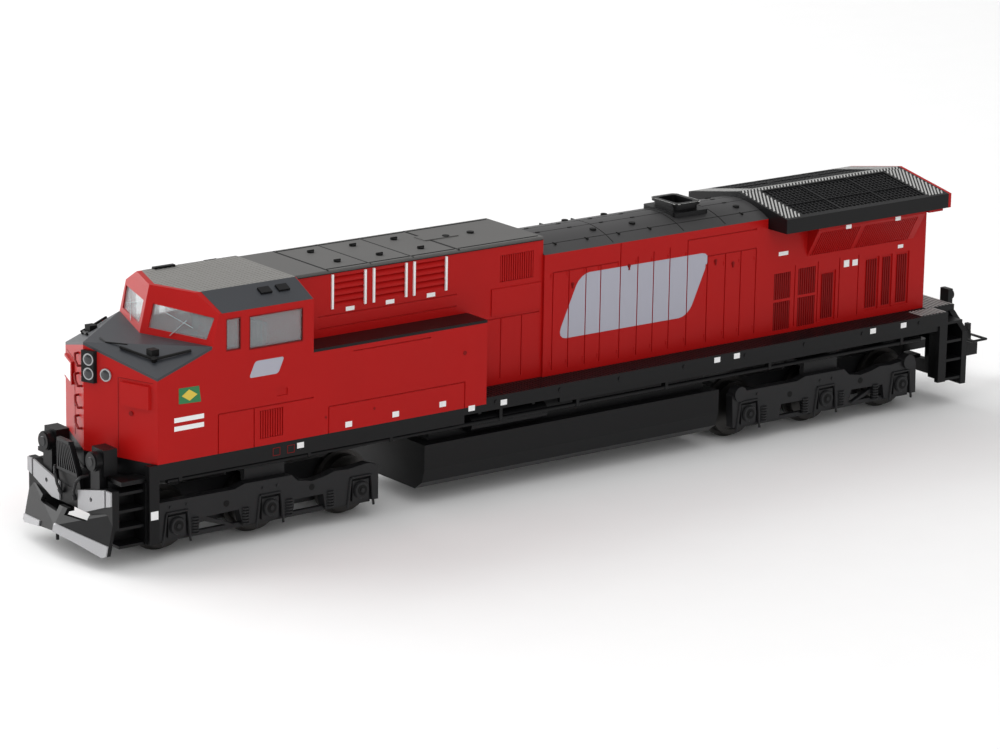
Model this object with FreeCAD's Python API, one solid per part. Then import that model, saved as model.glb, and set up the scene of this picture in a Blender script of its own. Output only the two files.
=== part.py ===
import FreeCAD, Part
import os

Vector = FreeCAD.Vector

# ---------------------------------------------------------------------------
# Diesel locomotive, 1:87 scale model. Millimetres.
# +X forward, +Y the left side, +Z up. The origin is on the ground plane,
# half way along the length, under the centre line.
# ---------------------------------------------------------------------------

# Stations along the length
front_truck_x = 85.2          # pivot of the front truck
rear_truck_x = -68.0          # pivot of the rear truck
plow_tip_x = 128.7            # foremost point of the plow blade
pilot_face_x = 124.4          # front face of the front pilot sheet
rear_face_x = -109.6          # rear face of the rear pilot sheet
coupler_end_x = -128.7        # rearmost point of the coupler head
nose_ridge_x = 121.0          # vertical ridge of the V-shaped nose
nose_corner_x = 114.4         # where the nose meets the body side
cab_rear_x = 76.1             # joint between the cab and the blower hood
cabinet_rear_x = 31.1         # rear end of the equipment cabinet
skirt_rear_x = 36.9           # rear end of the skirt under the cab
blower_rear_x = 10.8          # rear end of the blower hood
radiator_front_x = -52.7      # front end of the radiator section
flare_front_x = -64.6         # front end of the flared radiator intakes
flare_rear_x = -97.2          # rear end of the flared radiator intakes
hood_rear_x = -101.0          # rear wall of the hood
step_post_front_x = 114.0     # rear edge of the front step posts
step_post_rear_x = -100.5     # front edge of the rear step posts

# Widths
body_half_width = 17.6
hood_half_width = 10.9
blower_half_width = 10.3
roof_half_width = 11.0
flare_half_width = 14.6
wing_half_width = 17.3
frame_half_width = 16.4
end_half_width = 17.3         # rear pilot sheet
pilot_half_width = 16.2       # front pilot sheet and plow blade
well_inner_y = 12.4           # inner side of the step wells

# Heights above the ground plane (bottom of the wheel flanges)
flange_depth = 0.9
tread_radius = 6.1
axle_z = tread_radius + flange_depth
front_step_z = 4.6
rear_step_z = 6.2
skirt_bottom_z = 18.0
plate_bottom_z = 19.4
floor_z = 21.4                # underside of the red shell, top of the frame plate
deck_z = 22.8                 # top of the walkways
nose_top_z = 44.3
nose_corner_z = 39.5
eave_z = 50.9
roof_z = 54.2
cabinet_top_z = 40.0
hood_eave_z = 50.1
hood_crown_z = 52.9
wing_eave_z = 51.1
wing_fascia_z = 47.8
wing_ridge_z = 54.3
tank_top_z = 14.1
tank_bottom_z = 3.8

# Running gear
axle_spacing = 23.04
back_to_back = 14.4
wheel_width = 2.8
flange_width = 0.8
axle_radius = 1.2
axle_half_length = 14.3
gearbox_half_width = 6.2
sideframe_inner_y = 13.0
sideframe_outer_y = 15.2
kingpin_radius = 2.5
bolster_top_z = 15.8
frame_beam_z = 16.1

# Thicknesses and clearances
shell_wall = 1.0
roof_thickness = 0.7
roof_border = 1.1             # strip of shell left in front of the roof skin
sheet = 1.6
running_clearance = 0.05
groove_width = 0.28
groove_depth = 0.22
pocket_depth = 0.5


# ---------------------------------------------------------------------------
# Shape helpers
# ---------------------------------------------------------------------------

def box(x0, x1, y0, y1, z0, z1):
    low = Vector(min(x0, x1), min(y0, y1), min(z0, z1))
    return Part.makeBox(abs(x1 - x0), abs(y1 - y0), abs(z1 - z0), low)


def prism(points, push):
    loop = [Vector(*p) for p in points]
    loop.append(loop[0])
    return Part.Face(Part.makePolygon(loop)).extrude(push)


def prism_xz(points, y0, y1):
    return prism([(x, y0, z) for x, z in points], Vector(0, y1 - y0, 0))


def prism_yz(points, x0, x1):
    return prism([(x0, y, z) for y, z in points], Vector(x1 - x0, 0, 0))


def prism_xy(points, z0, z1):
    return prism([(x, y, z0) for x, y in points], Vector(0, 0, z1 - z0))


def rod(start, end, radius):
    a = Vector(*start)
    b = Vector(*end)
    return Part.makeCylinder(radius, (b - a).Length, a, b - a)


def pipe(points, radius):
    """Round rod along straight runs, with a ball at each bend."""
    pieces = [rod(a, b, radius) for a, b in zip(points[:-1], points[1:])]
    pieces += [Part.makeSphere(radius, Vector(*bend)) for bend in points[1:-1]]
    return join(pieces)


def join(shapes):
    if len(shapes) == 1:
        return shapes[0]
    return shapes[0].multiFuse(shapes[1:]).removeSplitter()


def mirrored(shape):
    return shape.mirror(Vector(0, 0, 0), Vector(0, 1, 0))


def both_sides(shape):
    return [shape, mirrored(shape)]


def flip(point):
    return (point[0], -point[1], point[2])


def plane(a, b, c):
    """A plane through three points, with the normal of (b - a) x (c - a)."""
    a = Vector(*a)
    normal = (Vector(*b) - a).cross(Vector(*c) - a)
    normal.normalize()
    return a, normal


def outside(face, inset):
    """A large block on the outer side of a plane moved inwards by inset."""
    point, normal = face
    size = 400.0
    block = Part.makeBox(size, size, size, Vector(-size / 2, -size / 2, 0))
    turn = FreeCAD.Rotation(Vector(0, 0, 1), normal)
    block.Placement = FreeCAD.Placement(point - normal * inset, turn)
    return block


def side_groove(x, z0, z1, y):
    """A thin upright line cut into a side wall whose face is at y."""
    half = groove_width / 2
    return box(x - half, x + half, y - groove_depth, y + 1, z0, z1)


def level_groove(x0, x1, z, y):
    """A thin level line cut into a side wall whose face is at y."""
    half = groove_width / 2
    return box(x0, x1, y - groove_depth, y + 1, z - half, z + half)


def side_pocket(x0, x1, z0, z1, y, depth=pocket_depth):
    return box(x0, x1, y - depth, y + 1, z0, z1)


def save(name, shapes):
    solids = []
    for shape in shapes:
        solids.extend(shape.Solids)
    result = solids[0] if len(solids) == 1 else Part.makeCompound(solids)
    result.exportStep("parts/" + name + ".step")


os.makedirs("parts", exist_ok=True)


# ---------------------------------------------------------------------------
# Cab and nose: two convex blocks bounded by sloping planes
# ---------------------------------------------------------------------------

screen_base = (107.4, 0.0, nose_top_z)
screen_top = (105.0, 0.0, roof_z)
screen_side = (101.1, body_half_width, nose_top_z)
ridge_top = (nose_ridge_x, 0.0, nose_top_z)
ridge_foot = (nose_ridge_x, 0.0, floor_z)
nose_corner = (nose_corner_x, body_half_width, nose_corner_z)
nose_corner_foot = (nose_corner_x, body_half_width, floor_z)
eave_front = (99.0, body_half_width, eave_z)
eave_rear = (80.0, body_half_width, eave_z)
roof_edge = (80.0, roof_half_width, roof_z)

screen_planes = [plane(screen_base, screen_side, screen_top),
                 plane(flip(screen_side), flip(screen_base), flip(screen_top))]
facet_planes = [plane(ridge_top, nose_corner, screen_side),
                plane(flip(nose_corner), flip(ridge_top), flip(screen_side))]
nose_planes = [plane(ridge_foot, nose_corner_foot, ridge_top),
               plane(flip(nose_corner_foot), flip(ridge_foot), flip(ridge_top))]
eave_planes = [plane(eave_front, eave_rear, roof_edge),
               plane(flip(eave_rear), flip(eave_front), flip(roof_edge))]


def cab_lower(inset, top_inset):
    """Nose and cab up to the nose top, shrunk inwards by inset."""
    half = body_half_width - inset
    block = box(cab_rear_x, nose_ridge_x + 2, -half, half, floor_z, nose_top_z - top_inset)
    tools = [outside(p, inset) for p in nose_planes]
    tools += [outside(p, top_inset) for p in facet_planes]
    return block.cut(tools)


def cab_upper(inset):
    """Cab above the nose top, between the windscreens and the rear joint."""
    half = body_half_width - inset
    block = box(cab_rear_x, screen_base[0] + 2, -half, half, nose_top_z - 6, roof_z - inset)
    tools = [outside(p, inset) for p in screen_planes + eave_planes]
    return block.cut(tools)


cab_outer = join([cab_lower(0, 0), cab_upper(0)])
cab_inner = join([cab_lower(shell_wall, shell_wall), cab_upper(shell_wall)])
rear_wall = box(cab_rear_x - 1, cab_rear_x + shell_wall, -body_half_width, body_half_width, 0, roof_z)
floor_opening = box(cab_rear_x + shell_wall, 112, -14, 14, floor_z - 1, floor_z + 2)
cab_cavity = cab_inner.cut(rear_wall).fuse(floor_opening)

# Side windows: (rear x, front x, bottom z, top z)
side_windows = [(79.0, 91.9, 42.5, 49.2), (94.4, 97.6, 43.0, 49.4)]
window_cutters = []
for x0, x1, z0, z1 in side_windows:
    window_cutters += both_sides(box(x0, x1, body_half_width - 2.6, body_half_width + 1, z0, z1))

# Windscreen opening in one half of the V: shares of the way from the centre
# post to the side, and of the height at each end
screen_opening = [(0.10, 0.14), (0.90, 0.11), (0.94, 0.56), (0.10, 0.63)]


def screen_block(push):
    base = Vector(*screen_base)
    across = Vector(*screen_side) - base
    rise = Vector(*screen_top) - base
    lean = Vector(-1.0, 0, 0)
    normal = screen_planes[0][1]
    corners = []
    for u, v in screen_opening:
        point = base + across * u + rise * v + lean * (u * v)
        point = point - normal * (point - base).dot(normal)
        corners.append(tuple(point - normal * push))
    return prism(corners, normal * (2 * push))


screen_cut = screen_block(3.0)
window_cutters += both_sides(screen_cut)

# Roof skin and nose cover are pieces of their own, let into the shell
roof_pocket = box(cab_rear_x - 1, 106, -roof_half_width, roof_half_width,
                  roof_z - roof_thickness, roof_z + 1)
roof_pocket = roof_pocket.cut([outside(p, roof_border) for p in screen_planes])
cab_shell = cab_outer.cut([cab_cavity] + window_cutters)
cab_roof = cab_shell.common(roof_pocket)
nose_cover = cab_lower(0, 0).cut(cab_lower(0, 0.5))
nose_cover = nose_cover.common(box(100, nose_ridge_x + 1, -body_half_width, body_half_width,
                                   nose_corner_z - 3, nose_top_z + 1))
nose_cover = nose_cover.cut(cab_upper(0))

# Panel lines and the vent beside the cab
cab_lines = []
cab_lines += both_sides(level_groove(75.0, 99.7, 29.8, body_half_width))
for x in (90.9, 99.7):
    cab_lines += both_sides(side_groove(x, floor_z - 1, 29.8, body_half_width))
cab_lines += both_sides(side_pocket(83.7, 89.4, 22.9, 28.9, body_half_width, 0.35))
cab_lines += both_sides(side_pocket(82.6, 85.2, 31.4, 33.0, body_half_width, 0.2))
cab_body = cab_shell.cut([roof_pocket, nose_cover] + cab_lines)
save("cab_shell", [cab_body])
save("cab_roof", [cab_roof])
save("nose_cover", [nose_cover])

panes = []
for x0, x1, z0, z1 in side_windows:
    panes += both_sides(box(x0, x1, body_half_width - 0.8, body_half_width - 0.3, z0, z1))
panes += both_sides(screen_cut.common(cab_upper(0.3).cut(cab_upper(0.8))))
save("cab_windows", panes)

# Small black vents and a bar along the roof edges. The vents sit on the
# sloping side of the roof: (outwards from its edge, height above the slope)
vent_corners = [(1.0, -1.5), (3.0, -1.7), (3.5, 0.55), (1.9, 0.55)]
eave_slope = (roof_z - eave_z) / (body_half_width - roof_half_width)
vent_profile = [(roof_half_width + out, roof_z - eave_slope * out + above) for out, above in vent_corners]
vents = [prism_yz(vent_profile, x0, x1).cut(cab_outer) for x0, x1 in ((79.9, 82.6), (84.3, 87.0))]
vents.append(mirrored(prism_yz(vent_profile, 80.0, 83.0).cut(cab_outer)))
vents.append(box(92.2, 97.4, 0.1 - roof_half_width, 1.1 - roof_half_width, roof_z, roof_z + 0.5))
save("cab_roof_vents", vents)

# Cab floor with the driver's desk and two seats
interior = [box(cab_rear_x + 1.4, 106, -16.2, 16.2, 33.0, 34.2)]
interior.append(box(99.5, 103.5, -14.5, 14.5, 34.2, 41.5))
for y in (-10.0, 10.0):
    interior.append(box(86.0, 91.5, y - 2.8, y + 2.8, 34.2, 39.5))
    interior.append(box(84.6, 86.2, y - 2.8, y + 2.8, 34.2, 46.0))
interior_limit = cab_lower(shell_wall + 0.3, shell_wall + 0.3)
interior_limit = interior_limit.fuse(cab_upper(shell_wall + 0.3))
floor_contact = box(cab_rear_x + shell_wall, 100, -16.6, 16.6, 33.0, 34.2)
save("cab_interior", [join([join(interior).common(interior_limit), floor_contact])])

# ---------------------------------------------------------------------------
# Skirt, cabinet and hoods
# ---------------------------------------------------------------------------

def nose_outline(x_rear, half, setback):
    """Plan of the body from x_rear to the nose, set back from the shell."""
    return [(x_rear, half), (nose_corner_x - setback, half), (nose_ridge_x - setback, 0),
            (nose_corner_x - setback, -half), (x_rear, -half)]


skirt = prism_xy(nose_outline(skirt_rear_x, body_half_width, 0), skirt_bottom_z, floor_z)
skirt_hollow = prism_xy(nose_outline(skirt_rear_x - 1, frame_half_width, 1.3),
                        skirt_bottom_z - 1, floor_z + 1)
save("lower_skirt", [skirt.cut(skirt_hollow)])

cabinet = box(cabinet_rear_x, cab_rear_x, blower_half_width, body_half_width,
              floor_z, cabinet_top_z - 0.6)
hollow = box(cabinet_rear_x + 1, cab_rear_x - 1, blower_half_width + 1, body_half_width - 1,
             floor_z - 1, cabinet_top_z - 1.6)
lines = [level_groove(skirt_rear_x, 72.2, 27.2, body_half_width),
         side_groove(skirt_rear_x, floor_z - 1, 27.2, body_half_width),
         side_groove(72.2, floor_z - 1, 27.2, body_half_width),
         level_groove(46.0, 66.0, cabinet_top_z - 1.7, body_half_width)]
save("equipment_cabinet", [cabinet.cut([hollow] + lines)])
ledge_outline = [(cabinet_rear_x, body_half_width), (cab_rear_x, body_half_width),
                 (cab_rear_x, blower_half_width), (cabinet_rear_x, blower_half_width)]
save("cabinet_ledge", [prism_xy(ledge_outline, cabinet_top_z - 0.6, cabinet_top_z)])

# Blower hood: louvred panels between upright bars, a slotted grille and doors
louvre_panels = [(58.3, 66.2), (47.7, 55.6), (37.2, 45.1)]
louvre_bottom_z = 46.1
louvre_top_z = 52.9
slat_count = 5
blower = box(blower_rear_x, cab_rear_x, -blower_half_width, blower_half_width,
             floor_z, roof_z - roof_thickness)
blower_hollow = box(blower_rear_x + 1, cab_rear_x - 1, -blower_half_width + 1.2,
                    blower_half_width - 1.2, floor_z - 1, roof_z)
cuts = [blower_hollow]
slat_pitch = (louvre_top_z - louvre_bottom_z) / slat_count
for x0, x1 in louvre_panels:
    for index in range(slat_count):
        z0 = louvre_bottom_z + index * slat_pitch
        wedge = [(blower_half_width + 0.1, z0 + 0.1), (blower_half_width + 0.1, z0 + slat_pitch - 0.25),
                 (blower_half_width - 0.75, z0 + slat_pitch - 0.25)]
        cuts += both_sides(prism_yz(wedge, x0, x1))
for x0, x1, z in ((34.0, 70.0, 44.5), (34.0, 70.0, 41.9), (11.6, 26.5, 37.6)):
    cuts += both_sides(level_groove(x0, x1, z, blower_half_width))
for x in (26.5, 22.0, 16.4):
    cuts += both_sides(side_groove(x, 24.0, 37.6, blower_half_width))
for x in (34.0, 40.0, 46.0, 52.0, 58.0, 64.0, 70.0):
    cuts.append(mirrored(side_groove(x, 24.0, 41.9, blower_half_width)))
cuts += both_sides(side_pocket(13.4, 22.4, 45.5, 51.4, blower_half_width, 0.35))
blower = blower.cut(cuts)
raised = both_sides(box(11.4, 24.7, blower_half_width - 0.1, blower_half_width + 0.25, 38.3, 44.2))
save("blower_hood", [join([blower] + raised)])

roof = box(blower_rear_x, cab_rear_x, -blower_half_width, blower_half_width,
           roof_z - roof_thickness, roof_z)
seams = [box(x - w / 2, x + w / 2, -blower_half_width, blower_half_width, roof_z - 0.22, roof_z + 1)
         for x, w in ((67.5, 0.35), (56.5, 0.25), (45.5, 0.25), (33.5, 0.5))]
save("blower_roof", [roof.cut(seams)])

bars = []
for x0, x1 in louvre_panels:
    for x in (x0 - 0.25, x1 + 0.25):
        bars += both_sides(box(x - 0.25, x + 0.25, blower_half_width, blower_half_width + 0.35,
                               louvre_bottom_z - 0.3, louvre_top_z + 0.3))
save("louvre_bars", bars)

# Engine hood with a row of doors under a curved roof
door_lines = [(8.4, 45.9), (4.0, 45.9), (-0.7, 45.9), (-4.8, 45.9), (-10.3, 50.0), (-15.2, 46.4),
              (-19.7, 46.9), (-24.3, 47.2), (-29.4, 48.2), (-35.2, 43.8), (-40.4, 43.8),
              (-44.9, 43.8), (-49.4, 43.8)]
engine = box(radiator_front_x, blower_rear_x, -hood_half_width, hood_half_width, floor_z, hood_eave_z)
cuts = [box(radiator_front_x + 1, blower_rear_x - 1, -hood_half_width + 1, hood_half_width - 1,
            floor_z - 1, hood_eave_z + 1)]
for x, top in door_lines:
    cuts += both_sides(side_groove(x, 24.0, top, hood_half_width))
for x0, x1, z in ((-9.7, 8.4, 45.9), (-49.4, -35.2, 43.8), (-49.4, -29.4, 48.2)):
    cuts += both_sides(level_groove(x0, x1, z, hood_half_width))
save("engine_hood", [engine.cut(cuts)])

arc = Part.Arc(Vector(blower_rear_x, -hood_half_width, hood_eave_z),
               Vector(blower_rear_x, 0, hood_crown_z),
               Vector(blower_rear_x, hood_half_width, hood_eave_z)).toShape()
chord = Part.makeLine(Vector(blower_rear_x, hood_half_width, hood_eave_z),
                      Vector(blower_rear_x, -hood_half_width, hood_eave_z))
roof_length = blower_rear_x - radiator_front_x
engine_roof = Part.Face(Part.Wire([arc, chord])).extrude(Vector(-roof_length, 0, 0))


def rounded_block(x0, x1, half, radius, z0, z1):
    """Upright block with rounded corners, centred on the X axis."""
    block = box(x0, x1, -half, half, z0, z1)
    upright = [e for e in block.Edges if abs(e.BoundBox.ZLength - (z1 - z0)) < 0.01]
    return block.makeFillet(radius, upright)


stack_x0 = -37.8
stack_x1 = -31.2
stack_half = 4.4
stack_top_z = 54.9
stack_hole = rounded_block(stack_x0 + 0.8, stack_x1 - 0.8, stack_half - 0.8, 0.9, 50.8, 60)
stack_foot_z = 51.9
stack_foot = rounded_block(stack_x0 - 1.6, stack_x1 + 1.6, stack_half + 1.5, 1.0, stack_foot_z,
                           hood_crown_z + 0.3)
stack_seat = rounded_block(stack_x0 - 1.6, stack_x1 + 1.6, stack_half + 1.5, 1.0, stack_foot_z, 60)
seams = [box(x - 0.14, x + 0.14, -12, 12, hood_eave_z + 0.2, 60) for x in (-8.5, -28.5, -40.5)]
seam_limit = engine_roof.cut(engine_roof.copy().translated(Vector(0, 0, -0.22)))
seams = [s.common(seam_limit) for s in seams]
for y in (-7.7, -2.0, 2.0, 7.7):
    seams.append(box(radiator_front_x, blower_rear_x, y - 0.12, y + 0.12, 50.5, 60).common(seam_limit))
save("engine_hood_roof", [engine_roof.cut([stack_hole, stack_seat] + seams)])

stack = [rounded_block(stack_x0, stack_x1, stack_half, 1.4, stack_foot_z, stack_top_z),
         rounded_block(stack_x0 - 0.5, stack_x1 + 0.5, stack_half + 0.5, 1.7, stack_top_z - 0.6,
                       stack_top_z)]
save("exhaust_stack", [join(stack + [stack_foot]).cut(stack_hole)])

# Radiator section: intakes flare outwards under an overhanging gable roof
wing_rear_x = -101.7
base = box(hood_rear_x, radiator_front_x, -hood_half_width, hood_half_width, floor_z, wing_fascia_z)
flare_profile = [(-hood_half_width + 0.5, 39.0), (-flare_half_width, 46.5),
                 (-flare_half_width, wing_fascia_z), (flare_half_width, wing_fascia_z),
                 (flare_half_width, 46.5), (hood_half_width - 0.5, 39.0)]
flare = prism_yz(flare_profile, flare_rear_x, flare_front_x)
lip = box(hood_rear_x, flare_rear_x + 0.5, -wing_half_width + 1, wing_half_width - 1,
          wing_fascia_z - 0.8, wing_fascia_z)
cuts = [box(hood_rear_x + 1, radiator_front_x - 1, -hood_half_width + 1, hood_half_width - 1,
            floor_z - 1, wing_fascia_z - 1)]
slope = (flare_half_width - hood_half_width + 0.5) / 7.5
for x0, x1 in ((-77.6, -65.5), (-95.2, -78.8)):
    y0 = hood_half_width - 0.5 + slope * 0.9
    y1 = hood_half_width - 0.5 + slope * 6.9
    intake = [(y0 - pocket_depth, 39.9), (y0 + 1, 39.9), (y1 + 1, 45.9), (y1 - pocket_depth, 45.9)]
    cuts += both_sides(prism_yz(intake, x0, x1))
door_pockets = [(-59.9, -55.0, 30.9, 37.0), (-59.9, -55.0, 23.7, 30.3), (-67.4, -62.2, 31.1, 37.3),
                (-67.4, -62.2, 23.7, 30.5), (-73.6, -68.8, 24.0, 35.6), (-86.8, -82.4, 24.6, 37.1),
                (-90.9, -87.6, 24.6, 37.1), (-96.1, -91.9, 24.6, 37.1)]
for x0, x1, z0, z1 in door_pockets:
    cuts += both_sides(side_pocket(x0, x1, z0, z1, hood_half_width, 0.3))
for x in (-61.2, -68.1, -74.6, -80.4):
    cuts += both_sides(side_groove(x, 24.0, 38.2, hood_half_width))
save("radiator_hood", [join([base, flare, lip]).cut(cuts)])

wing_profile = [(wing_half_width, wing_fascia_z), (wing_half_width, wing_eave_z), (0, wing_ridge_z),
                (-wing_half_width, wing_eave_z), (-wing_half_width, wing_fascia_z)]
wing = prism_yz(wing_profile, wing_rear_x, radiator_front_x)
mesh_front_x = -58.4
mesh_rear_x = -95.4
mesh_inner_y = 1.6
mesh_outer_y = 16.0
wing_slope = (wing_ridge_z - wing_eave_z) / wing_half_width


def wing_surface_z(y):
    return wing_ridge_z - wing_slope * y


mesh_pocket = [(mesh_inner_y, wing_surface_z(mesh_inner_y) - pocket_depth), (mesh_inner_y, 60),
               (mesh_outer_y, 60), (mesh_outer_y, wing_surface_z(mesh_outer_y) - pocket_depth)]
save("radiator_roof", [wing.cut(both_sides(prism_yz(mesh_pocket, mesh_rear_x, mesh_front_x)))])
save("radiator_rear_cap", [prism_yz(wing_profile, wing_rear_x - 0.8, wing_rear_x)])

# One plain block stands for the motor and the ballast weight
save("motor_block", [box(blower_rear_x + 4, 72, -6.5, 6.5, floor_z, 40)])

# ---------------------------------------------------------------------------
# Underframe, walkways and tank
# ---------------------------------------------------------------------------

plate_outline = nose_outline(rear_face_x + sheet, frame_half_width, 1.3)
plate = prism_xy(plate_outline, plate_bottom_z, floor_z)
beam = box(-101.0, 117.0, -6, 6, frame_beam_z, plate_bottom_z)
bores = [rod((x, 0, 15), (x, 0, 19.2), kingpin_radius + running_clearance)
         for x in (front_truck_x, rear_truck_x)]
corners = both_sides(box(rear_face_x, step_post_rear_x, well_inner_y - 0.4, body_half_width,
                         plate_bottom_z - 1, floor_z + 1))
save("main_frame", [join([plate, beam]).cut(bores + corners)])

sill_bottom_z = 19.8
boss_z = 21.5
post_boss_xs = (28.4, 11.0, -5.5, -23.8, -41.5, -59.0, -76.5, -94.0)


def walkway(x_front, inner_front):
    """Tread deck with a deep outer sill, on the left side."""
    deck = box(step_post_rear_x, x_front, hood_half_width, frame_half_width, floor_z, deck_z)
    sill = box(step_post_rear_x, skirt_rear_x, frame_half_width, body_half_width,
               sill_bottom_z, deck_z)
    deep = box(step_post_rear_x, blower_rear_x, frame_half_width, body_half_width - 0.4, 18.6, sill_bottom_z)
    pieces = [deck, sill, deep]
    if inner_front > blower_rear_x:
        pieces.append(box(blower_rear_x, inner_front, blower_half_width, hood_half_width,
                          floor_z, deck_z))
    if x_front > skirt_rear_x:
        pieces.append(box(skirt_rear_x, x_front, frame_half_width, body_half_width,
                          floor_z, deck_z))
    for x in post_boss_xs:
        pieces.append(rod((x, body_half_width - 0.4, boss_z), (x, body_half_width + 0.15, boss_z), 0.5))
    return join(pieces)


cabinet_foot = box(cabinet_rear_x, skirt_rear_x + 1, blower_half_width, body_half_width,
                   floor_z, deck_z + 1)
left_walkway = walkway(skirt_rear_x, cabinet_rear_x).cut(cabinet_foot)
right_walkway = walkway(cab_rear_x, cab_rear_x)
save("walkways", [left_walkway, mirrored(right_walkway)])

tank_profile = [(15.8, tank_top_z), (15.8, 8.6), (14.9, 5.6), (12.4, tank_bottom_z),
                (-12.4, tank_bottom_z), (-14.9, 5.6), (-15.8, 8.6), (-15.8, tank_top_z)]
tank = prism_yz(tank_profile, -35.5, 46.0)
neck = box(-33, 43, -13, 13, tank_top_z, plate_bottom_z)
neck = neck.cut(box(-34, 44, -6, 6, frame_beam_z, 20))
save("fuel_tank", [join([tank, neck])])

# Air reservoirs and long pipes under the left and right sills
hangers = []
for x in (-90.0, -50.0, -20.0, 5.0, 26.0, 55.0, 76.0, 108.0):
    hangers.append(box(x - 0.4, x + 0.4, 14.8, 16.2, 16.6, plate_bottom_z))
run = rod((-96.0, 15.6, 17.0), (111.0, 15.6, 17.0), 0.5)
air_tank = rod((13.0, 13.9, 16.6), (33.5, 13.9, 16.6), 1.9)
strap = [box(x - 0.4, x + 0.4, 13.2, 14.6, 17.6, plate_bottom_z) for x in (16.0, 30.5)]
save("air_pipes", both_sides(join([run] + hangers + [air_tank.cut(box(12, 34, 0, 13.0, 10, 20))] + strap)))

# ---------------------------------------------------------------------------
# Front end
# ---------------------------------------------------------------------------

pilot_back_x = pilot_face_x - sheet
pilot_outline = [(0, 14.1), (3.6, 14.5), (13.8, 16.9), (pilot_half_width, 16.9), (pilot_half_width, 8.6),
                 (9.6, 8.6), (9.6, 10.3), (0, 10.3)]
pilot_outline += [(-y, z) for y, z in reversed(pilot_outline[1:-1])]
pilot = prism_yz(pilot_outline, pilot_back_x, pilot_face_x)
shelf_profile = [(116.0, 17.9), (121.6, 17.9), (pilot_back_x + 0.2, 14.3), (pilot_back_x + 0.2, 12.6),
                 (116.0, 14.9)]
shelf = prism_xz(shelf_profile, -12.0, 12.0)
link = box(112.5, 118.5, -6, 6, 14.9, frame_beam_z)
pad = box(117.6, 122.4, -3.0, 3.0, 9.6, 15.5)
screw_hole = rod((120.0, 0, 8), (120.0, 0, 13.6), 1.0)
save("front_pilot", [join([pilot, shelf, link, pad]).cut([screw_hole, box(100, 117, -6, 6, frame_beam_z, 20)])])

grating_side = [(123.2, 13.6), (124.2, 13.6), (125.8, 24.5), (125.0, 24.5)]
grating_face = [(-4.0, 13.6), (4.0, 13.6), (4.0, 18.4), (2.5, 24.5), (-2.5, 24.5), (-4.0, 18.4)]
grating = prism_xz(grating_side, -5, 5).common(prism_yz(grating_face, 120, 128))
save("front_grating", [grating.cut([pilot, shelf])])
nose_block = prism_xy(nose_outline(100, body_half_width, 0), 10, 60)

# Round lights in front of boxy housings, two at each end
light_y = 9.2
light_z = 21.8
light_radius = 2.1
light_drum = rod((122.5, light_y, light_z), (124.9, light_y, light_z), light_radius)
light_box = box(120.2, 123.4, light_y - 2.3, light_y + 2.3, light_z - 2.9, light_z + 2.6)
light_foot = box(122.5, 124.1, light_y - 1.7, light_y + 1.7, 14.4, light_z)
front_light = join([light_drum, light_box, light_foot]).cut([shelf, pilot])
save("front_ditch_lights", both_sides(front_light))


def on_nose(y0, y1, z0, z1, height, face):
    """Low box standing on one half of the V-shaped nose."""
    block = box(110, nose_ridge_x + 3, y0, y1, z0, z1)
    return block.cut(outside(face, -height)).cut(nose_block)


save("headlight_housing", [on_nose(0.35, 3.3, 36.2, 42.9, 0.8, nose_planes[0])])
save("number_boxes", [on_nose(9.3, 16.0, 32.7, 37.6, 0.6, nose_planes[0]),
                      on_nose(-16.0, -9.3, 32.7, 37.6, 0.6, nose_planes[1])])

# Silver plates: two on each half of the pilot, a strip along the foot of each
# half of the plow blade
plate_shape = [(3.6, 14.4), (13.8, 16.8), (13.8, 13.2), (6.6, 10.5), (3.6, 10.5)]
corner_shape = [(14.4, 16.8), (pilot_half_width - 0.1, 16.8), (pilot_half_width - 0.1, 13.9),
                (14.4, 13.4)]
plates = both_sides(prism_yz(plate_shape, pilot_face_x, pilot_face_x + 0.4))
plates += both_sides(prism_yz(corner_shape, pilot_face_x, pilot_face_x + 0.4))
plate_holes = both_sides(rod((120, 8.6, 13.6), (130, 8.6, 13.6), 0.5))
plates = [p.cut(plate_holes) for p in plates]

# Plow blade: two folded plates that meet at the front, under the pilot
blade_tip = (plow_tip_x - 0.4, 0, 6.6)
blade_top = (plow_tip_x - 2.6, 0, 10.2)
blade_side_foot = (pilot_face_x + 1.3, pilot_half_width, 3.6)
blade_side_top = (pilot_face_x - 0.5, pilot_half_width, 12.2)
blade_faces = [plane(blade_tip, blade_side_foot, blade_side_top),
               plane(blade_tip, blade_side_top, blade_top)]
blade_thickness = 0.8
edge_thickness = 0.3


def blade_layer(outline, front, back):
    """Left half of the folded plate, between two offsets from its face."""
    block = prism_yz(outline, pilot_back_x, plow_tip_x + 1)
    body = block.cut([outside(f, front) for f in blade_faces])
    return body.cut(block.cut([outside(f, back) for f in blade_faces]))


blade_shape = [(0, 10.2), (1.5, 10.2), (1.5, 8.9), (9.0, 9.2), (9.0, 10.4), (pilot_half_width, 12.4),
               (pilot_half_width, 3.5), (15.0, 3.1), (7.3, 4.4), (0, 5.4)]
blade = join(both_sides(blade_layer(blade_shape, 0, blade_thickness)))
peg = rod((plow_tip_x - 1.2, 0, 3.4), (plow_tip_x - 1.2, 0, 5.9), 0.35)
save("snow_plow", [join([blade.cut(pilot), peg])])
left_edge = [(0.1, 7.1), (7.3, 6.4), (16.1, 5.6), (16.1, 3.5), (15.0, 3.1), (7.3, 4.4), (0.1, 5.4)]
right_edge = [(7.3, 5.5), (16.1, 4.6), (16.1, 3.5), (15.0, 3.1), (7.3, 4.4)]
silver = plates + [blade_layer(left_edge, -edge_thickness, 0),
                   mirrored(blade_layer(right_edge, -edge_thickness, 0))]
save("silver_plates", silver)

# ---------------------------------------------------------------------------
# Step wells at the four corners
# ---------------------------------------------------------------------------

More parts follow.
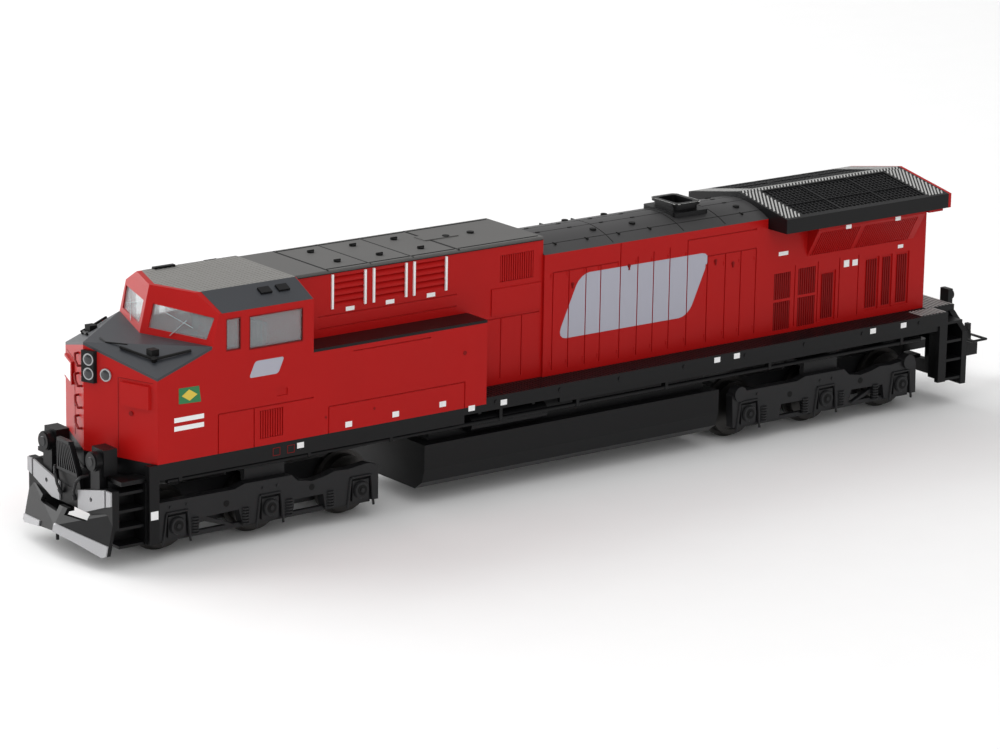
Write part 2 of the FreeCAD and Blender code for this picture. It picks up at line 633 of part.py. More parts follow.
front_treads = (front_step_z, 8.4, 12.1, 15.8)
rear_treads = (rear_step_z, 10.7, 15.2, 19.7)


def step_well(x_post, x_sheet, treads, y_edge, z_top):
    """Post, inner wall and treads between the post and the pilot sheet."""
    way = 1 if x_sheet > x_post else -1
    x_wall = x_post + way * 2.0
    z_foot = treads[0]
    pieces = [box(x_post, x_post + way * 2.4, frame_half_width, body_half_width, z_foot, z_top),
              box(x_wall, x_wall + way * 0.8, well_inner_y - 0.4, frame_half_width + 0.2,
                  z_foot, z_top),
              box(x_wall, x_sheet, well_inner_y - 0.4, well_inner_y, z_foot, z_top)]
    for z in treads:
        pieces.append(box(x_wall + way * 0.4, x_sheet, well_inner_y - 0.2, y_edge, z, z + 0.6))
    return join(pieces)


front_well = step_well(step_post_front_x, pilot_back_x, front_treads, pilot_half_width - 0.1,
                       skirt_bottom_z)
corner_fill = box(nose_corner_x, step_post_front_x + 2.4, frame_half_width - 0.4, body_half_width,
                  skirt_bottom_z - 0.5, floor_z - 0.1).cut(nose_block)
top_tread = box(nose_corner_x, pilot_back_x - 0.6, well_inner_y - 0.2, pilot_half_width - 0.1,
                skirt_bottom_z - 0.3, skirt_bottom_z + 0.6).cut(nose_block)
front_well = join([front_well, corner_fill, top_tread]).cut(shelf)
rear_well = step_well(step_post_rear_x, rear_face_x + sheet, rear_treads, end_half_width - 0.2,
                      floor_z)
save("step_wells", both_sides(front_well) + both_sides(rear_well))

# ---------------------------------------------------------------------------
# Rear end
# ---------------------------------------------------------------------------

rear_outline = [(12.6, floor_z), (end_half_width, 17.4), (end_half_width, 4.8),
                (-end_half_width, 4.8), (-end_half_width, 17.4), (-12.6, floor_z)]
coupler_window = box(rear_face_x - 1, rear_face_x + 3, -4.8, 4.8, 8.0, 13.2)
save("rear_pilot", [prism_yz(rear_outline, rear_face_x, rear_face_x + sheet).cut(coupler_window)])
post_end_x = step_post_rear_x - 2.4
rear_deck = prism_xy([(step_post_rear_x, body_half_width), (post_end_x, body_half_width),
                      (post_end_x, well_inner_y), (rear_face_x, well_inner_y),
                      (rear_face_x, -well_inner_y), (post_end_x, -well_inner_y),
                      (post_end_x, -body_half_width), (step_post_rear_x, -body_half_width),
                      (step_post_rear_x, -hood_half_width), (hood_rear_x, -hood_half_width),
                      (hood_rear_x, hood_half_width), (step_post_rear_x, hood_half_width)],
                     floor_z, deck_z)
save("rear_deck", [rear_deck])
rear_light = join([box(rear_face_x - 0.9, rear_face_x + 0.5, 8.0, 10.8, floor_z + 0.2, 26.0),
                   rod((rear_face_x - 1.6, 9.4, 24.4), (rear_face_x, 9.4, 24.4), 1.2)])
save("rear_ditch_lights", both_sides(rear_light.cut(rear_deck)))

# ---------------------------------------------------------------------------
# Rear coupler and its pocket
# ---------------------------------------------------------------------------

coupler_pivot_x = -104.6
coupler_z = 10.7
pin_radius = 0.9
pocket_front_x = -102.2
pocket = [box(rear_face_x + sheet, pocket_front_x, -3.4, 3.4, 12.4, 13.2),
          box(rear_face_x + sheet, pocket_front_x, -3.4, 3.4, 8.2, 9.0),
          rod((coupler_pivot_x, 0, 8.6), (coupler_pivot_x, 0, 12.8), pin_radius),
          box(pocket_front_x - 0.4, pocket_front_x, -3.4, 3.4, 8.2, plate_bottom_z),
          box(rear_face_x + sheet, pocket_front_x, -3.4, 3.4, 13.0, plate_bottom_z)]
save("coupler_pocket", [join(pocket)])

head_x = -124.4
shank_end_x = coupler_pivot_x + 1.2
shank = box(head_x - 1.6, shank_end_x, -1.3, 1.3, coupler_z - 1.1, coupler_z + 0.9)
shank = shank.cut(rod((coupler_pivot_x, 0, 0), (coupler_pivot_x, 0, 20), pin_radius + running_clearance))
head = box(coupler_end_x, head_x - 1.0, -0.9, 0.9, 5.4, 8.4)
neck = box(head_x - 2.2, head_x - 1.0, -0.8, 0.8, 7.8, coupler_z)
prong = box(head_x - 2.2, head_x - 1.2, -0.6, 0.6, 9.4, 13.2)
wire = 0.3
loop_half = 4.6
loop_z = 10.0
loop_x = -127.9
corners = [(head_x + 0.8, -loop_half, loop_z), (loop_x, -loop_half, loop_z),
           (loop_x, loop_half, loop_z), (head_x + 0.8, loop_half, loop_z)]
crossbar = rod((head_x + 0.8, -loop_half - wire, loop_z), (head_x + 0.8, loop_half + wire, loop_z), 0.4)
save("rear_coupler", [join([shank, head, neck, prong, pipe(corners, wire), crossbar])])

# ---------------------------------------------------------------------------
# Trucks and wheelsets
# ---------------------------------------------------------------------------

axles = (-axle_spacing, 0.0, axle_spacing)


def truck_frame(cx):
    """Gearbox with a bolster over the middle axle and a kingpin on top."""
    core = box(cx - 26, cx + 26, -gearbox_half_width, gearbox_half_width, 3.4, 12.6)
    riser = box(cx - 5, cx + 5, -gearbox_half_width, gearbox_half_width, 12.6, bolster_top_z)
    bolster = box(cx - 5, cx + 5, -sideframe_inner_y, sideframe_inner_y, 14.6, bolster_top_z)
    legs = both_sides(box(cx - 5, cx + 5, 11.6, sideframe_inner_y, 9.0, bolster_top_z))
    pin = rod((cx, 0, bolster_top_z), (cx, 0, 18.8), kingpin_radius)
    bores = [rod((cx + a, -8, axle_z), (cx + a, 8, axle_z), axle_radius + running_clearance)
             for a in axles]
    return join([core, riser, bolster, pin] + legs).cut(bores)


frame_top = [(-27.6, 11.6), (-24.9, 12.5), (-19.7, 11.9), (-16.4, 12.1), (-13.8, 11.4), (-10.5, 10.9),
             (-7.0, 11.5), (-5.4, 13.0), (6.4, 13.1), (8.9, 12.3), (27.4, 12.4), (28.0, 11.6)]
frame_bottom = [(27.8, 4.2), (18.0, 4.2), (17.4, 7.6), (7.8, 7.8), (6.8, 4.2), (-5.6, 4.2),
                (-6.2, 7.6), (-13.4, 7.6), (-14.0, 4.2), (-27.6, 4.2)]


def sideframe(cx, end_cylinders):
    """Outer frame with arched journal boxes, a lower tie bar and a diagonal rod."""
    way = -1 if end_cylinders else 1
    lower = [(way * x, z) for x, z in frame_bottom][::way]
    outline = [(cx + x, z) for x, z in frame_top + lower]
    plate = prism_xz(outline, sideframe_inner_y, sideframe_outer_y)
    arches = []
    boxes = []
    bores = []
    for a in axles:
        x = cx + a
        arch = [(x - 3.2, 3.0), (x - 2.5, 9.7), (x + 2.6, 9.7), (x + 3.4, 3.0)]
        arches.append(prism_xz(arch, sideframe_outer_y - 0.6, sideframe_outer_y + 1))
        boxes.append(box(x - 2.1, x + 2.1, sideframe_outer_y - 0.8, sideframe_outer_y, 4.6, 9.1))
        boxes.append(rod((x, sideframe_outer_y - 0.8, axle_z), (x, sideframe_outer_y + 0.4, axle_z), 1.5))
        bores.append(rod((x, 12, axle_z), (x, axle_half_length + 0.1, axle_z),
                         axle_radius + running_clearance))
    tie = box(cx - 26, cx + 26, 13.4, 14.4, 3.7, 4.7)
    brace = [(cx + way * x, z) for x, z in ((8.2, 4.4), (9.4, 4.4), (17.6, 7.0), (17.6, 8.0), (16.8, 8.0))]
    extras = [tie, prism_xz(brace, 13.6, 14.6)]
    if end_cylinders:
        for x in (cx + 26.0, cx - 25.0):
            extras.append(rod((x, 13.4, 12.0), (x, 15.9, 12.0), 1.7))
    return join([plate.cut(arches)] + boxes + extras).cut(bores)


def wheelset(x):
    """Axle with two flanged wheels."""
    inner = back_to_back / 2
    pieces = [rod((x, -axle_half_length, axle_z), (x, axle_half_length, axle_z), axle_radius)]
    for side in (1, -1):
        outer = side * (inner + wheel_width)
        rim = rod((x, side * inner, axle_z), (x, outer, axle_z), tread_radius)
        dish = rod((x, outer - side * 0.5, axle_z), (x, outer + side, axle_z), tread_radius - 1.1)
        hub = rod((x, side * inner, axle_z), (x, outer + side * 0.3, axle_z), 2.0)
        flange = rod((x, side * inner, axle_z), (x, side * (inner + flange_width), axle_z),
                     tread_radius + flange_depth)
        pieces += [rim.cut(dish), flange, hub]
    return join(pieces)


for name, cx in (("front", front_truck_x), ("rear", rear_truck_x)):
    save(name + "_truck_frame", [truck_frame(cx)])
    save(name + "_truck_sideframes", both_sides(sideframe(cx, name == "rear")))
    for place, offset in (("front", axle_spacing), ("middle", 0.0), ("rear", -axle_spacing)):
        save(name + "_truck_" + place + "_wheelset", [wheelset(cx + offset)])
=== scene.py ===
import math

import bmesh
import bpy
from mathutils import Matrix, Vector


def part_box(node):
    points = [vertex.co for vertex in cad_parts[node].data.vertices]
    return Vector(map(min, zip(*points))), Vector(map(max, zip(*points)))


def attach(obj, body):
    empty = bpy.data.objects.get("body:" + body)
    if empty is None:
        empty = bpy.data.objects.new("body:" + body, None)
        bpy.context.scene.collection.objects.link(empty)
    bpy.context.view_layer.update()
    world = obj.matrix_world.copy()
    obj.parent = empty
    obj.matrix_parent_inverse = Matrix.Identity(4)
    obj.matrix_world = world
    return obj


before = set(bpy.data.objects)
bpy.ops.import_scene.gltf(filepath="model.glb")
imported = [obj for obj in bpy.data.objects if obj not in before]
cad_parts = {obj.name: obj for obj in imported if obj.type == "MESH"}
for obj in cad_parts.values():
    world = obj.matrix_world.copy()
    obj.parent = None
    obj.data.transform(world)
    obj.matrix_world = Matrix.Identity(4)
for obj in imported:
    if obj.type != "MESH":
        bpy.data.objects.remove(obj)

bl_info = {
    "name": "Diesel Locomotive Looks",
    "version": (1, 0, 0),
    "blender": (4, 5, 0),
    "location": "View3D > Sidebar > Locomotive",
    "description": "Finishes and small trim for the packed diesel locomotive model",
    "category": "Object",
}

MM = 0.001
BODY = "locomotive_body"


# ---------------------------------------------------------------------------
# Where the CAD nodes are, in millimetres
# ---------------------------------------------------------------------------

class Place:
    """The box of a CAD node in millimetres."""

    def __init__(self, node):
        low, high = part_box(node)
        self.x0, self.y0, self.z0 = (v / MM for v in low)
        self.x1, self.y1, self.z1 = (v / MM for v in high)


cab = Place("cab_shell")
cab_roof = Place("cab_roof")
nose = Place("nose_cover")
skirt = Place("lower_skirt")
blower = Place("blower_hood")
blower_roof = Place("blower_roof")
engine = Place("engine_hood")
engine_roof = Place("engine_hood_roof")
stack = Place("exhaust_stack")
radiator = Place("radiator_hood")
wing = Place("radiator_roof")
walkway = Place("walkways")
deck = Place("rear_deck")
pilot = Place("front_pilot")
front_light = Place("front_ditch_lights")
rear_light = Place("rear_ditch_lights")


# ---------------------------------------------------------------------------
# Where the trim goes, in millimetres
# ---------------------------------------------------------------------------

SUNK = 0.02                  # how far flat trim reaches into the wall behind it
PROUD = 0.05                 # how far flat trim stands out of it
BAR_DEPTH = 0.33             # depth of the grille bars
STACK_X = (stack.x0 + stack.x1) / 2

# Windows and grilles on a side wall: x from and to, z from and to
CAB_WINDOWS = ((79.0, 91.9, 42.5, 49.2), (94.4, 97.6, 43.0, 49.4))
WINDOW_SEAL = 0.25
CAB_GRILLE = (83.8, 89.3, 23.0, 28.8)
BLOWER_GRILLE = (13.4, 22.4, 45.6, 51.3)
RADIATOR_GRILLES = (
    (-59.9, -55.0, 30.9, 37.0), (-59.9, -55.0, 23.7, 30.3), (-67.4, -62.2, 31.1, 37.3),
    (-67.4, -62.2, 23.7, 30.5), (-73.0, -69.4, 24.6, 35.0), (-86.3, -82.9, 25.2, 36.5),
    (-90.5, -88.0, 25.2, 36.5), (-95.6, -92.4, 25.2, 36.5),
)

# The cab's windscreen: foot of the centre post, its head, and the outer foot
POST_FOOT = Vector((107.4, 0, 44.3))
POST_HEAD = Vector((105.0, 0, 54.2))
OUTER_FOOT = Vector((101.1, 17.6, 44.3))
WIPERS = (((0.42, 0.06), (0.60, 0.42)), ((0.30, 0.50), (0.70, 0.30)))
ROOF_SIDE_HIGH = Vector((0, 11.0, 54.2))
ROOF_SIDE_LOW = Vector((0, 17.6, 50.9))

# The nose. Lamps: y, z, radius and height. Number face and door: y from and to, z from and to.
NOSE_RUN = 6.6               # how far the corners lie behind the ridge
NOSE_COVER_DROP = 4.8        # how far they lie below the top of the cover
NOSE_LAMPS = ((1.8, 41.1, 1.3, 0.9), (1.8, 38.1, 1.3, 0.9), (5.5, 38.3, 1.35, 0.35))
GRAB_IRON_HEIGHTS = (39.9, 35.6, 31.0, 26.6)
NOSE_DOOR = (8.3, 16.6, 22.4, 38.3)
NUMBER_FACE = (-15.4, -9.9, 33.2, 37.1)
# Small dark dots of painted shade that stand for holes in the nose: y and z.
NOSE_DARK_DOTS = ((11.4, 31.2), (-8.0, 29.0))

# The hoods. Latches: x, z and radius where it differs. Seams: x and width. Edge runs: x from and to.
DOOR_LINES = (8.4, 4.0, -0.7, -4.8, -10.3, -15.2, -19.7, -24.3, -29.4, -35.2, -40.4, -44.9, -49.4)
DOOR_LATCHES = ((3.0, 42.6), (-12.7, 44.6), (-37.5, 42.4), (-42.6, 41.2))
CABINET_LATCHES = ((37.0, 33.6, 0.5), (60.5, 25.0, 0.3), (72.9, 25.0, 0.3))
ROOF_SEAMS = ((67.5, 0.5), (56.5, 0.3), (45.5, 0.3), (33.5, 0.6))
ROOF_EDGE_RUNS = ((11.6, 33.0), (34.0, 45.2), (45.8, 56.2), (56.8, 67.2))

# The radiator roof and the intakes under it
EAVE_DROP = 3.2
RADIATOR_INNER, RADIATOR_OUTER = 1.6, 16.0
RADIATOR_FRONT, RADIATOR_REAR = wing.x1 - 5.7, wing.x0 + 6.3
MESH_DROP = 0.28
BAR_PITCH = 11.5
TREAD_SLANT = 0.7
INTAKES = ((-77.6, -65.5), (-95.2, -78.8))
INTAKE_FOOT = 39.9
INTAKE_HEIGHT = 6.0
INTAKE_SLOPE = 4.2 / 7.5

# The ends. Lamps: y and z. Hose: points ahead of the pilot's face, y and z.
FRONT_LAMP = (9.2, 21.8)
REAR_LAMP = (9.4, 24.4)
GRATING_FOOT, GRATING_HEIGHT = 17.2, 7.0
HOSE_ROUTE = ((-1.2, 5.4, 17.6), (0.5, 5.0, 17.5), (1.1, 4.0, 16.2), (1.1, 3.2, 14.2), (0.6, 2.7, 12.6))

# The trucks. Axles and springs: x from the truck's centre. Arch, holes and bolts: x and z.
TRUCK_CENTRES = {"front_truck": 85.2, "rear_truck": -68.0}
SIDE_FRAME_Y = 15.2
AXLE_HEIGHT = 7.0
AXLES = (23.04, 0.0, -23.04)
SPRINGS = (18.6, 6.2, -4.7, -15.2)
ARCH = ((-3.3, 3.2), (-2.5, 9.9), (2.6, 9.9), (3.5, 3.2))
FRAME_HOLES = ((10.9, 9.6), (-10.5, 9.6))
FRAME_BOLTS = ((1.8, 11.4), (-1.8, 11.4), (24.6, 11.1), (20.6, 11.1))

# Labels on a side wall: x and z of the middle, and where they differ width and height
SKIRT_LABELS = ((79.3, 20.0), (67.1, 22.6), (55.0, 22.9), (42.7, 23.2), (35.0, 21.1),
                (26.4, 21.1), (-33.2, 21.7), (-38.9, 21.8), (-79.6, 21.7), (-89.0, 21.7))
BLOWER_LABELS = ((61.8, 45.3), (51.5, 45.3), (40.8, 45.3))
RADIATOR_LABELS = ((-57.5, 41.5, 2.8, 0.9), (-76.7, 36.6, 1.6, 1.6), (-79.3, 36.5, 1.6, 1.4),
                   (-93.2, 38.5, 1.6, 0.8))
INTAKE_LABELS = ((-72.1, 46.9), (-87.1, 46.9))
STEP_LABEL = (115.2, 10.8)
SKIRT_FRAMES = ((85.3, 19.6), (81.7, 19.6))

# The stage, in metres and watts: name, place, size and power of each light
FLOOR_SIZE = 12000
LIGHTS = (("side_light", (0.5, 1.2, 0.9), 1.4, 9.0), ("front_light", (0.6, -1.25, 0.6), 1.8, 34.0),
          ("top_light", (-0.1, 0.1, 1.5), 1.6, 7.0))
LIGHT_TARGET = (0, 0, 0.03)
WORLD_STRENGTH = 0.45
CAMERA_PLACE = (0.5734, 0.7320, 0.27066)
CAMERA_ANGLES = (52.617, 15.138, 1.004)      # azimuth, height and roll in degrees
CAMERA_LENS = 156.71


# ---------------------------------------------------------------------------
# Sizes and colours
# ---------------------------------------------------------------------------

def colour_property(name, description, default):
    return bpy.props.FloatVectorProperty(name=name, description=description, subtype="COLOR",
                                         size=3, min=0, max=1, default=default)


def size_property(name, description, default):
    return bpy.props.FloatProperty(name=name, description=description, default=default,
                                   min=0.01, soft_max=20)


class LocoColours(bpy.types.PropertyGroup):
    shell: colour_property("Shell", "Main body paint", (0.38, 0.0060, 0.0055))
    roof: colour_property("Roof", "Roof of the blower hood", (0.10, 0.098, 0.095))
    dark_roof: colour_property("Dark roof", "Roof of the engine hood", (0.045, 0.044, 0.045))
    cab_roof: colour_property("Cab roof", "Ribbed roof of the cab", (0.20, 0.195, 0.185))
    panel: colour_property("Panels", "Nose top and sloping cab panels", (0.022, 0.025, 0.031))
    black: colour_property("Frame", "Underframe, tank and radiator roof", (0.0045, 0.0045, 0.005))
    truck: colour_property("Trucks", "Truck side frames", (0.010, 0.010, 0.011))
    silver: colour_property("Silver", "Pilot plates and lamp rings", (0.36, 0.36, 0.37))
    white: colour_property("White", "Labels and upright bars", (0.80, 0.80, 0.80))
    marking: colour_property("Marking", "Plain markings on the body", (0.36, 0.36, 0.42))
    # The tread rib colour is a light grey painted highlight on the tops of the tread ribs and on the
    # stack rim.
    rib: colour_property("Tread ribs", "Worn tops of the tread ribs", (0.42, 0.42, 0.41))


class LocoSizes(bpy.types.PropertyGroup):
    rib_pitch: size_property("Rib pitch", "Spacing of the tread ribs, in millimetres", 1.0)
    slat_pitch: size_property("Slat pitch", "Spacing of the grille bars, in millimetres", 0.62)
    tread_pitch: size_property("Tread pitch", "Spacing of the radiator tread ribs, in millimetres", 0.95)
    mesh_pitch: size_property("Mesh pitch", "Spacing of the radiator mesh, in millimetres", 1.15)
    label_height: size_property("Label height", "Height of the blank labels, in millimetres", 0.9)
    bolt_radius: size_property("Bolt radius", "Radius of small bolt heads, in millimetres", 0.32)


# ---------------------------------------------------------------------------
# Materials, on object coordinates
# ---------------------------------------------------------------------------

def finish_material(name, colour, roughness=0.4, metallic=0.0, grain=0.08, bump=0.02, soot=None,
                    shine=0.5):
    """Paint or plastic with a faint cloudy tone, uneven gloss and fine surface grain."""
    material = bpy.data.materials.get(name) or bpy.data.materials.new(name)
    material.use_nodes = True
    nodes = material.node_tree.nodes
    links = material.node_tree.links
    nodes.clear()
    output = nodes.new("ShaderNodeOutputMaterial")
    shader = nodes.new("ShaderNodeBsdfPrincipled")
    links.new(shader.outputs["BSDF"], output.inputs["Surface"])
    place = nodes.new("ShaderNodeTexCoord")
    cloud = nodes.new("ShaderNodeTexNoise")
    cloud.inputs["Scale"].default_value = 90.0
    cloud.inputs["Detail"].default_value = 4.0
    links.new(place.outputs["Object"], cloud.inputs["Vector"])
    tone = nodes.new("ShaderNodeMixRGB")
    tone.blend_type = "MIX"
    tone.inputs["Color1"].default_value = (*[c * (1 - grain) for c in colour], 1)
    tone.inputs["Color2"].default_value = (*[min(1, c * (1 + grain)) for c in colour], 1)
    links.new(cloud.outputs["Fac"], tone.inputs["Fac"])
    base = tone.outputs["Color"]
    if soot:
        base = add_soot(material, base, place, soot)
    links.new(base, shader.inputs["Base Color"])
    gloss = nodes.new("ShaderNodeMapRange")
    gloss.inputs["To Min"].default_value = max(0.05, roughness - 0.06)
    gloss.inputs["To Max"].default_value = min(1.0, roughness + 0.06)
    links.new(cloud.outputs["Fac"], gloss.inputs["Value"])
    links.new(gloss.outputs["Result"], shader.inputs["Roughness"])
    fine = nodes.new("ShaderNodeTexNoise")
    fine.inputs["Scale"].default_value = 1600.0
    links.new(place.outputs["Object"], fine.inputs["Vector"])
    relief = nodes.new("ShaderNodeBump")
    relief.inputs["Strength"].default_value = bump
    relief.inputs["Distance"].default_value = 0.00005
    links.new(fine.outputs["Fac"], relief.inputs["Height"])
    links.new(relief.outputs["Normal"], shader.inputs["Normal"])
    shader.inputs["Metallic"].default_value = metallic
    shader.inputs["Specular IOR Level"].default_value = shine
    material.diffuse_color = (*colour, 1)
    return material


def add_soot(material, base, place, soot):
    """Darkens a round patch about the point (x, y) in metres, fading out at the radius."""
    nodes = material.node_tree.nodes
    links = material.node_tree.links
    x, y, radius, dark = soot
    shift = nodes.new("ShaderNodeVectorMath")
    shift.operation = "SUBTRACT"
    shift.inputs[1].default_value = (x, y, 0)
    links.new(place.outputs["Object"], shift.inputs[0])
    flat = nodes.new("ShaderNodeVectorMath")
    flat.operation = "MULTIPLY"
    flat.inputs[1].default_value = (1, 1, 0)
    links.new(shift.outputs["Vector"], flat.inputs[0])
    length = nodes.new("ShaderNodeVectorMath")
    length.operation = "LENGTH"
    links.new(flat.outputs["Vector"], length.inputs[0])
    fade = nodes.new("ShaderNodeMapRange")
    fade.interpolation_type = "SMOOTHSTEP"
    fade.inputs["From Max"].default_value = radius
    fade.inputs["To Min"].default_value = dark
    fade.inputs["To Max"].default_value = 0.0
    links.new(length.outputs["Value"], fade.inputs["Value"])
    mix = nodes.new("ShaderNodeMixRGB")
    mix.inputs["Color2"].default_value = (0.01, 0.01, 0.01, 1)
    links.new(fade.outputs["Result"], mix.inputs["Fac"])
    links.new(base, mix.inputs["Color1"])
    return mix.outputs["Color"]


def glass_material(name):
    """Clear glazing with a faint tint and a soft haze."""
    material = finish_material(name, (0.80, 0.84, 0.86), 0.08, grain=0.02, bump=0.0)
    shader = material.node_tree.nodes["Principled BSDF"]
    shader.inputs["Transmission Weight"].default_value = 0.7
    shader.inputs["IOR"].default_value = 1.2
    shader.inputs["Alpha"].default_value = 0.5
    return material


def make_materials():
    """Builds every finish once and returns them by name."""
    c = bpy.context.scene.loco_colours
    soot = (STACK_X * MM, 0.0, 0.022, 0.75)
    return {
        "shell": finish_material("shell_paint", c.shell, 0.36, grain=0.05, shine=0.13),
        # Half-bright copy of the shell red with two uses: a darker red for small marks, lines and
        # fittings, and painted shade on parts that stand in shade, such as the grab irons.
        "darker_red_and_shade": finish_material("shell_darker_red_and_shade", [v * 0.5 for v in c.shell], 0.5, shine=0.15),
        "roof": finish_material("hood_roof", c.roof, 0.5, grain=0.10, shine=0.3),
        "dark_roof": finish_material("engine_roof_paint", c.dark_roof, 0.36, grain=0.12, soot=soot,
                                     shine=0.3),
        "cab_roof": finish_material("cab_roof_paint", c.cab_roof, 0.5, grain=0.06, shine=0.3),
        "panel": finish_material("panel_paint", c.panel, 0.45, grain=0.10),
        "black": finish_material("frame_black", c.black, 0.34, grain=0.15, bump=0.05, shine=0.2),
        "line": finish_material("gap_black", (0.003, 0.003, 0.003), 0.6, shine=0.2),
        "truck": finish_material("truck_grey", c.truck, 0.42, grain=0.15, bump=0.08, shine=0.3),
        "silver": finish_material("silver_paint", c.silver, 0.38, metallic=0.35, grain=0.05),
        "wheel": finish_material("wheel_steel", (0.05, 0.048, 0.046), 0.35, metallic=0.9),
        "white": finish_material("white_paint", c.white, 0.45, grain=0.03),
        "marking": finish_material("plain_marking", c.marking, 0.45, grain=0.03),
        # Light grey painted highlight for the rib tops and the stack rim.
        "rib": finish_material("rib_painted_highlight", c.rib, 0.5, grain=0.10),
        "inside": finish_material("inside_grey", (0.05, 0.05, 0.055), 0.7),
        "weight": finish_material("cast_weight", (0.12, 0.12, 0.12), 0.6, metallic=0.6),
        "lens": finish_material("lamp_lens", (0.02, 0.022, 0.025), 0.12, grain=0.02, shine=0.6),
        "green": finish_material("marking_green", (0.015, 0.16, 0.05), 0.45),
        "yellow": finish_material("marking_yellow", (0.65, 0.48, 0.05), 0.45),
        "glass": glass_material("clear_glazing"),
    }


NODE_FINISH = {
    "cab_shell": "shell", "equipment_cabinet": "shell", "blower_hood": "shell", "engine_hood": "shell",
    "radiator_hood": "shell", "radiator_rear_cap": "shell", "number_boxes": "shell",
    "headlight_housing": "black", "cab_roof": "cab_roof", "nose_cover": "panel",
    "blower_roof": "roof", "engine_hood_roof": "dark_roof", "silver_plates": "silver",
    "cab_windows": "glass", "louvre_bars": "white", "motor_block": "weight", "cab_interior": "inside",
}


# ---------------------------------------------------------------------------
# Simple solids, in millimetres
# ---------------------------------------------------------------------------

class Stock:
    """Gathers simple solids in millimetres and turns them into one piece."""

    def __init__(self):
        self.bm = bmesh.new()

    def box(self, x0, x1, y0, y1, z0, z1):
        centre = Vector(((x0 + x1) / 2, (y0 + y1) / 2, (z0 + z1) / 2))
        size = (abs(x1 - x0), abs(y1 - y0), abs(z1 - z0), 1)
        place = Matrix.Translation(centre) @ Matrix.Diagonal(size)
        bmesh.ops.create_cube(self.bm, size=1, matrix=place)

    def rod(self, start, end, radius, segments=14, end_radius=None):
        start = Vector(start)
        axis = Vector(end) - start
        turn = axis.to_track_quat("Z", "Y").to_matrix().to_4x4()
        place = Matrix.Translation(start + axis / 2) @ turn
        bmesh.ops.create_cone(self.bm, cap_ends=True, cap_tris=False, segments=segments,
                              radius1=radius, radius2=radius if end_radius is None else end_radius,
                              depth=axis.length, matrix=place)

    def path(self, points, radius, segments=8):
        for a, b in zip(points[:-1], points[1:]):
            self.rod(a, b, radius, segments)
        for bend in points[1:-1]:
            bmesh.ops.create_icosphere(self.bm, subdivisions=1, radius=radius * 1.02,
                                       matrix=Matrix.Translation(Vector(bend)))

    def slab(self, points, push):
        """A flat outline pushed into a solid."""
        face = self.bm.faces.new([self.bm.verts.new(p) for p in points])
        grown = bmesh.ops.extrude_face_region(self.bm, geom=[face], use_keep_orig=True)
        moved = [v for v in grown["geom"] if isinstance(v, bmesh.types.BMVert)]
        bmesh.ops.translate(self.bm, vec=Vector(push), verts=moved)

    def mirror(self):
        """Adds the same solids on the other side of the centre line."""
        everything = self.bm.verts[:] + self.bm.edges[:] + self.bm.faces[:]
        copy = bmesh.ops.duplicate(self.bm, geom=everything)
        verts = [v for v in copy["geom"] if isinstance(v, bmesh.types.BMVert)]
        bmesh.ops.scale(self.bm, vec=(1, -1, 1), verts=verts)

    def item(self, name, material, smooth=False):
        """The finished object, in metres."""
        if not self.bm.faces:
            raise RuntimeError("nothing was built for " + name)
        bmesh.ops.scale(self.bm, vec=(MM, MM, MM), verts=self.bm.verts)
        bmesh.ops.recalc_face_normals(self.bm, faces=self.bm.faces)
        mesh = bpy.data.meshes.new(name)
        self.bm.to_mesh(mesh)
        self.bm.free()
        mesh.materials.append(material)
        if smooth:
            mesh.shade_smooth()
            mesh.set_sharp_from_angle(angle=math.radians(35))
        item = bpy.data.objects.new(name, mesh)
        bpy.context.scene.collection.objects.link(item)
        return item

    def piece(self, name, material, body=BODY, smooth=False):
        """The finished object, riding on a body."""
        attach(self.item(name, material, smooth), body)


def steps(start, end, pitch):
    """Even positions from start to end, about one pitch apart."""
    count = max(1, round(abs(end - start) / pitch))
    return [start + (end - start) * i / count for i in range(count + 1)]


def side_label(stock, x, z, y, width=2.2, height=None):
    """A blank label on a side wall."""
    height = height or bpy.context.scene.loco_sizes.label_height
    stock.box(x - width / 2, x + width / 2, y - SUNK, y + PROUD, z - height / 2, z + height / 2)


def side_sheet(stock, outline, y):
    """A thin flat sheet on a side wall, from its outline in x and z."""
    stock.slab([(x, y - SUNK, z) for x, z in outline], (0, SUNK + PROUD * 0.8, 0))


def border(stock, x0, x1, z0, z1, width, y0, y1):
    """Four bars round an opening in a side wall."""
    for z in (z0 - width, z1):
        stock.box(x0 - width, x1 + width, y0, y1, z, z + width)
    for x in (x0 - width, x1):
        stock.box(x, x + width, y0, y1, z0, z1)


def slanted_mark(x, z, half_length, half_height, slant, corner):
    """Outline of a slanted block with rounded corners, in x and z."""
    points = []
    for quarter, (sx, sz) in enumerate(((1, 1), (-1, 1), (-1, -1), (1, -1))):
        for step in range(5):
            angle = math.radians(90 * quarter + 22.5 * step)
            px = sx * (half_length - corner) + corner * math.cos(angle)
            pz = sz * (half_height - corner) + corner * math.sin(angle)
            points.append((x + px - pz * slant, z + pz))
    return points


def clip_x(outline, low, high):
    """The part of a convex outline between two values of x."""
    for limit, keep in ((low, 1), (high, -1)):
        kept = []
        for a, b in zip(outline, outline[1:] + outline[:1]):
            inside_a = (a[0] - limit) * keep >= 0
            inside_b = (b[0] - limit) * keep >= 0
            if inside_a:
                kept.append(a)
            if inside_a != inside_b:
                share = (limit - a[0]) / (b[0] - a[0])
                kept.append((limit, a[1] + (b[1] - a[1]) * share))
        outline = kept
    return outline


def fill_grille(stock, opening, face, pitch, depth=BAR_DEPTH):
    """Upright bars standing in a pocket of a side wall."""
    x0, x1, z0, z1 = opening
    half = pitch * 0.26
    for x in steps(x0 + pitch / 2, x1 - pitch / 2, pitch):
        stock.box(x - half, x + half, face - depth, face, z0, z1)


